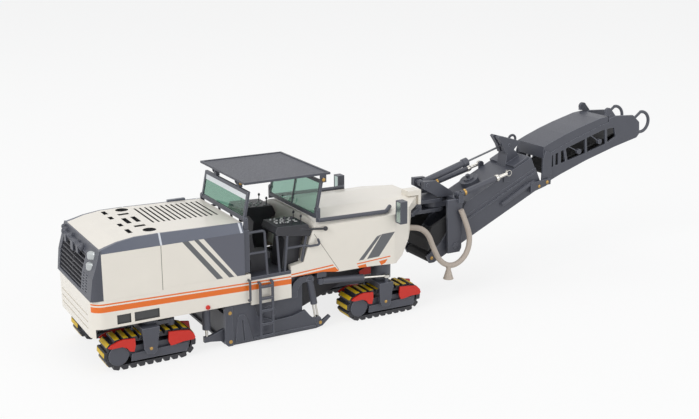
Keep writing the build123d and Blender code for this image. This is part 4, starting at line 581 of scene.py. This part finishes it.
# The same points as the route in the part's source
HOSE_ROUTE = ((SLEW_X - 23.6, -15.0, 36.4), (SLEW_X - 18.0, -16.6, 36.6), (SLEW_X - 12.8, -17.4, 33.0),
              (SLEW_X - 10.0, -17.6, 26.0), (SLEW_X - 5.6, -17.6, 17.6), (SLEW_X + 2.2, -17.2, 14.4),
              (SLEW_X + 9.6, -16.6, 18.4), (SLEW_X + 12.4, -15.8, 26.0), (SLEW_X + 10.4, -14.8, 34.0),
              (SLEW_X + 7.6, -13.0 - HOSE_RADIUS, 40.4))
NOZZLE_PROFILE = ((0.0, 1.1), (0.9, 1.35), (1.7, 1.1), (2.2, 1.15), (5.8, 2.2), (6.3, 2.45), (6.6, 2.45),
                  (6.6, 2.1), (2.4, 0.7))

hose_line = bpy.data.curves.new("water_hose_line", "CURVE")
hose_line.dimensions = "3D"
spline = hose_line.splines.new("NURBS")
spline.points.add(len(HOSE_ROUTE) - 1)
for point, spot in zip(spline.points, HOSE_ROUTE):
    point.co = (*place(*spot), 1.0)
spline.order_u = 3
spline.use_endpoint_u = True
spline.resolution_u = HOSE_STEPS
route = bpy.data.objects.new("water_hose_route", hose_line)
scene.collection.objects.link(route)
centreline = bpy.data.meshes.new_from_object(route)
hose_path = [vertex.co.copy() for vertex in centreline.vertices]
nozzle_at = min(hose_path, key=lambda spot: abs(spot.x - place(NOZZLE_X, 0, 0).x))
bpy.data.meshes.remove(centreline)
hose_line.bevel_depth = HOSE_RADIUS * MM
hose_line.bevel_resolution = HOSE_ROUNDNESS
hose_line.use_fill_caps = True
tube = bpy.data.meshes.new_from_object(route)
bpy.data.objects.remove(route)
bpy.data.curves.remove(hose_line)
hose = unhung("water_hose_tube", tube, hose_vinyl)
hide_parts("water_hose")
nozzle = unhung("hose_nozzle", turned("hose_nozzle", [(nozzle_at, (0, 0, -1), NOZZLE_PROFILE)]),
                hose_vinyl)
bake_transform(hose)
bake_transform(nozzle)

# Crawler pads

WHEELBASE = 108.5
TRACK_MID_Y = 18.4
TRACK_MID_Z = 6.5
TRACK_SETBACK = 1.0  # behind the steering axis
HALF_CENTRES = 12.5  # half of the distance between a track's end wheels
SHOE_TIP_RADIUS = 6.5
SHOE_COUNT = 24
BAND_RADIUS = 5.2  # of the band that carries the shoes, round an end wheel
PAD_SIZE = (1.9, 9.6, 0.16)  # along the track, across it, thickness
UNPAINTED_BELOW = -0.6  # shoes that face further down than this show no paint
CRAWLERS = (("rear_right", 0.0, -1), ("rear_left", 0.0, 1),
            ("front_right", WHEELBASE, -1), ("front_left", WHEELBASE, 1))  # name, x, side


def pad_rows(x, side):
    """The painted pads of one track: place at the shoe's tip, way that it faces, size."""
    straight = 2 * HALF_CENTRES
    bend = pi * BAND_RADIUS
    pitch = 2 * (straight + bend) / SHOE_COUNT
    rows = []
    for shoe in range(SHOE_COUNT):
        run = (shoe + 0.5) * pitch
        if run < straight:
            spot, way = (run - HALF_CENTRES, -SHOE_TIP_RADIUS), (0.0, -1.0)
        elif run < straight + bend:
            turn = (run - straight) / BAND_RADIUS
            way = (sin(turn), -cos(turn))
            spot = (HALF_CENTRES + SHOE_TIP_RADIUS * way[0], SHOE_TIP_RADIUS * way[1])
        elif run < 2 * straight + bend:
            spot, way = (HALF_CENTRES - (run - straight - bend), SHOE_TIP_RADIUS), (0.0, 1.0)
        else:
            turn = (run - 2 * straight - bend) / BAND_RADIUS
            way = (-sin(turn), cos(turn))
            spot = (-HALF_CENTRES + SHOE_TIP_RADIUS * way[0], SHOE_TIP_RADIUS * way[1])
        if way[1] > UNPAINTED_BELOW:
            rows.append((place(x - TRACK_SETBACK + spot[0], side * TRACK_MID_Y, TRACK_MID_Z + spot[1]),
                         (way[0], 0, way[1]), PAD_SIZE))
    return rows


rivets = rivet_tree()
blocks = block_tree()

for name, x, side in CRAWLERS:
    grown(f"shoe_pads_{name}", points_mesh("pad_points", pad_rows(x, side)), blocks,
          {"Material": pad_yellow}, f"crawler_{name}")

SIDE_Y = 20.0  # from the middle, where the search for a side surface is centred
PIN_SINK = 0.06

# Turned pins, on both sides: node, body, x, z, radius, how domed the head is (1 is half a ball)
PINS = (
    ("side_plate_{}", "plate_{}", 33.3, 15.0, 0.8, 0.08),
    ("side_plate_{}", "plate_{}", 33.3, 2.4, 0.8, 0.08),
    ("side_plate_{}", "plate_{}", 75.2, 3.0, 0.8, 0.08),
    ("crawler_frame_rear_{}", "crawler_rear_{}", -1.6, 7.6, 0.7, 0.5),
    ("crawler_frame_front_{}", "crawler_front_{}", WHEELBASE - 1.6, 7.6, 0.7, 0.5),
    ("rear_screen_frame", "rear_screen", 43.9, 66.6, 0.75, 0.5),
    ("front_screen_frame", "front_screen", 77.1, 66.2, 0.8, 0.5),
    ("conveyor_lower_frame", "lower_conveyor", 207.5, 46.9, 0.9, 0.5),
    ("conveyor_lower_frame", "lower_conveyor", 202.6, 45.4, 0.8, 0.5),
    ("conveyor_lower_frame", "lower_conveyor", 141.5, 17.8, 0.9, 0.5),
)
pins_by_body = {}
for side, name in SIDES:
    for node, body, x, z, radius, head_height in PINS:
        spot = seat(node.format(name), (x, side * SIDE_Y, z), (0, side, 0), sink=PIN_SINK)
        pins_by_body.setdefault((body.format(name), head_height), []).append((spot, (0, side, 0), radius))
for (body, head_height), rows in pins_by_body.items():
    grown(f"pins_{body}_{len(rows)}", points_mesh("pin_points", rows), rivets,
          {"Material": turned_brass, "Head height": head_height}, body)

# Keys, levers and knobs on the two control trays

TRAY_Z = 48.5
KEY_SIZES = ((0.9, 0.7, 0.6), (0.6, 0.6, 0.9), (1.3, 0.5, 0.5))  # along, across, height
KEY_COLUMNS = (57.4, 59.2, 61.0, 62.6, 64.6, 66.4)
KEY_ROWS = (12.6, 14.8, 16.6, 18.6)  # from the middle
TRAY_FACING = (0.04, 0, 1)
LEVER_PROFILE = ((-0.2, 0.3), (0.2, 0.24), (2.2, 0.2), (2.3, 0.42), (2.8, 0.55), (3.3, 0.4), (3.5, 0.12))
LEVERS = ((59.6, 21.4), (62.6, 21.8), (67.6, 20.8), (67.8, 13.4))  # x, distance from the middle


def on_tray(x, y):
    """A place on top of a control tray."""
    return seat("consoles_and_seats", (x, y, TRAY_Z), TRAY_FACING)


keys, levers = [], []
for side, _ in SIDES:
    for column, x in enumerate(KEY_COLUMNS):
        for row, y in enumerate(KEY_ROWS):
            # About two places in seven stay empty, so that the keys stand in uneven groups.
            if (column * 3 + row * 5) % 7 < 5:
                keys.append((on_tray(x, side * y), TRAY_FACING, KEY_SIZES[(column + 2 * row) % 3]))
    levers += [(on_tray(x, side * y), TRAY_FACING, LEVER_PROFILE) for x, y in LEVERS]
grown("console_keys", points_mesh("key_points", keys), blocks, {"Material": abs_keys},
      "chassis")
piece("console_levers", turned("console_levers", levers, sides=12), "chassis",
      black_styrene)

# Red marker lamps low on the body, and the stay barrels' collars and glands

MARKER_X, MARKER_Z = 23.3, 19.8
MARKER_PROFILE = ((-0.2, 0.95), (0.4, 0.95), (0.8, 0.7), (1.0, 0.25))
markers = []
for side, _ in SIDES:
    spot = seat("body_shell", (MARKER_X, side * SIDE_Y, MARKER_Z), (0, side, 0))
    markers.append((spot, (0, side, 0), MARKER_PROFILE))
piece("marker_lamps", turned("marker_lamps", markers, sides=16), "chassis", signal_red)

STAY_BASE = (SLEW_X + 8.0, 47.2)  # x and z of the stay barrels' rear pins
STAY_WAY = (0.9713, 0, 0.2377)
STAY_Y = 11.7
COLLAR_PROFILE = ((0.0, 1.45), (0.05, 1.62), (1.1, 1.62), (1.15, 1.45))
GLAND_PROFILE = ((0.0, 1.42), (0.1, 1.7), (1.5, 1.7), (1.7, 1.3), (2.3, 1.3), (2.4, 1.0))
# name, distance from the rear pin, profile, material
STAY_RINGS = (("stay_collars", 2.6, COLLAR_PROFILE, turned_brass),
              ("stay_glands", 21.4, GLAND_PROFILE, drawn_steel))
for name, distance, profile, material in STAY_RINGS:
    rings = [(place(STAY_BASE[0] + STAY_WAY[0] * distance, side * STAY_Y,
                    STAY_BASE[1] + STAY_WAY[2] * distance), STAY_WAY, profile) for side, _ in SIDES]
    piece(name, turned(name, rings), "stay_barrels", material)

# Camera at the photograph's place

CAMERA_PLACE = (-126.507, -404.002, 171.328)
CAMERA_AIM = (0.47638, 0.83870, -0.26387)  # direction
SENSOR_WIDTH = 36.0
FOCAL_LENGTH = 54.78
NEAREST_SEEN = 0.01  # m

camera = bpy.data.objects.new("camera", bpy.data.cameras.new("camera"))
scene.collection.objects.link(camera)
camera.location = place(*CAMERA_PLACE)
camera.rotation_euler = Vector(CAMERA_AIM).to_track_quat("-Z", "Y").to_euler()
camera.data.sensor_width = SENSOR_WIDTH
camera.data.lens = FOCAL_LENGTH
camera.data.clip_start = NEAREST_SEEN
scene.camera = camera

# Studio: white paper, white surroundings, soft boxes

scene.view_settings.view_transform = "Standard"
PAPER = "f4f4f2"
PAPER_ROUGHNESS = 0.9
PAPER_GLOW = 0.8  # share of the glow in what the camera sees; the rest keeps the shadow
FLOOR_REACH = 6.0  # m
FLOOR_Z = -0.0001  # m, just under the tracks
SKY = "f2f4f8"
SKY_STRENGTH = 0.55
WHITE = "ffffff"


def bright_to_camera(tree, shader, code, share):
    """A shader that glows in a colour where it is seen directly, in a reflection or through glass."""
    rays = add(tree, "ShaderNodeLightPath")
    seen = add(tree, "ShaderNodeMath", {"operation": "MAXIMUM"}, {
        0: rays.outputs["Is Camera Ray"], 1: rays.outputs["Is Glossy Ray"]}).outputs[0]
    seen = add(tree, "ShaderNodeMath", {"operation": "MAXIMUM"}, {
        0: seen, 1: rays.outputs["Is Transmission Ray"]}).outputs[0]
    part = add(tree, "ShaderNodeMath", {"operation": "MULTIPLY"}, {0: seen, 1: share}).outputs[0]
    glow = add(tree, "ShaderNodeEmission", inputs={"Color": linear(code), "Strength": 1.0})
    return add(tree, "ShaderNodeMixShader", inputs={0: part, 1: shader, 2: glow.outputs[0]}).outputs[0]


floor_paper = bpy.data.materials.new("studio_paper")
floor_paper.use_nodes = True
paper = floor_paper.node_tree.nodes["Principled BSDF"]
paper.inputs["Base Color"].default_value = linear(PAPER)
paper.inputs["Roughness"].default_value = PAPER_ROUGHNESS
floor_paper.node_tree.links.new(bright_to_camera(floor_paper.node_tree, paper.outputs[0], WHITE, PAPER_GLOW),
                                floor_paper.node_tree.nodes["Material Output"].inputs["Surface"])
floor_mesh = bpy.data.meshes.new("studio_floor")
floor_mesh.from_pydata([(x * FLOOR_REACH, y * FLOOR_REACH, FLOOR_Z)
                        for x, y in ((-1, -1), (1, -1), (1, 1), (-1, 1))], [], [(0, 1, 2, 3)])
floor_mesh.materials.append(floor_paper)
floor = bpy.data.objects.new("studio_floor", floor_mesh)
scene.collection.objects.link(floor)

world = bpy.data.worlds.new("studio")
scene.world = world
world.use_nodes = True
sky = world.node_tree.nodes["Background"]
sky.inputs["Color"].default_value = linear(SKY)
sky.inputs["Strength"].default_value = SKY_STRENGTH
world.node_tree.links.new(bright_to_camera(world.node_tree, sky.outputs[0], WHITE, 1.0),
                          world.node_tree.nodes["World Output"].inputs["Surface"])

# name, place in m, aim in m, size in m, power in W
LAMPS = (
    ("key_box", (-1.10, -0.45, 0.80), (0.0, 0.0, 0.03), 0.7, 8.0),
    ("fill_box", (0.60, -0.95, 0.55), (0.0, 0.0, 0.03), 0.8, 2.6),
    ("top_box", (0.05, 0.25, 1.1), (0.0, 0.0, 0.0), 0.9, 2.6),
)
for name, spot, aim, size, power in LAMPS:
    lamp = bpy.data.lights.new(name, "AREA")
    lamp.shape = "SQUARE"
    lamp.size = size
    lamp.energy = power
    box = bpy.data.objects.new(name, lamp)
    scene.collection.objects.link(box)
    box.location = spot
    box.rotation_euler = (Vector(aim) - Vector(spot)).to_track_quat("-Z", "Y").to_euler()
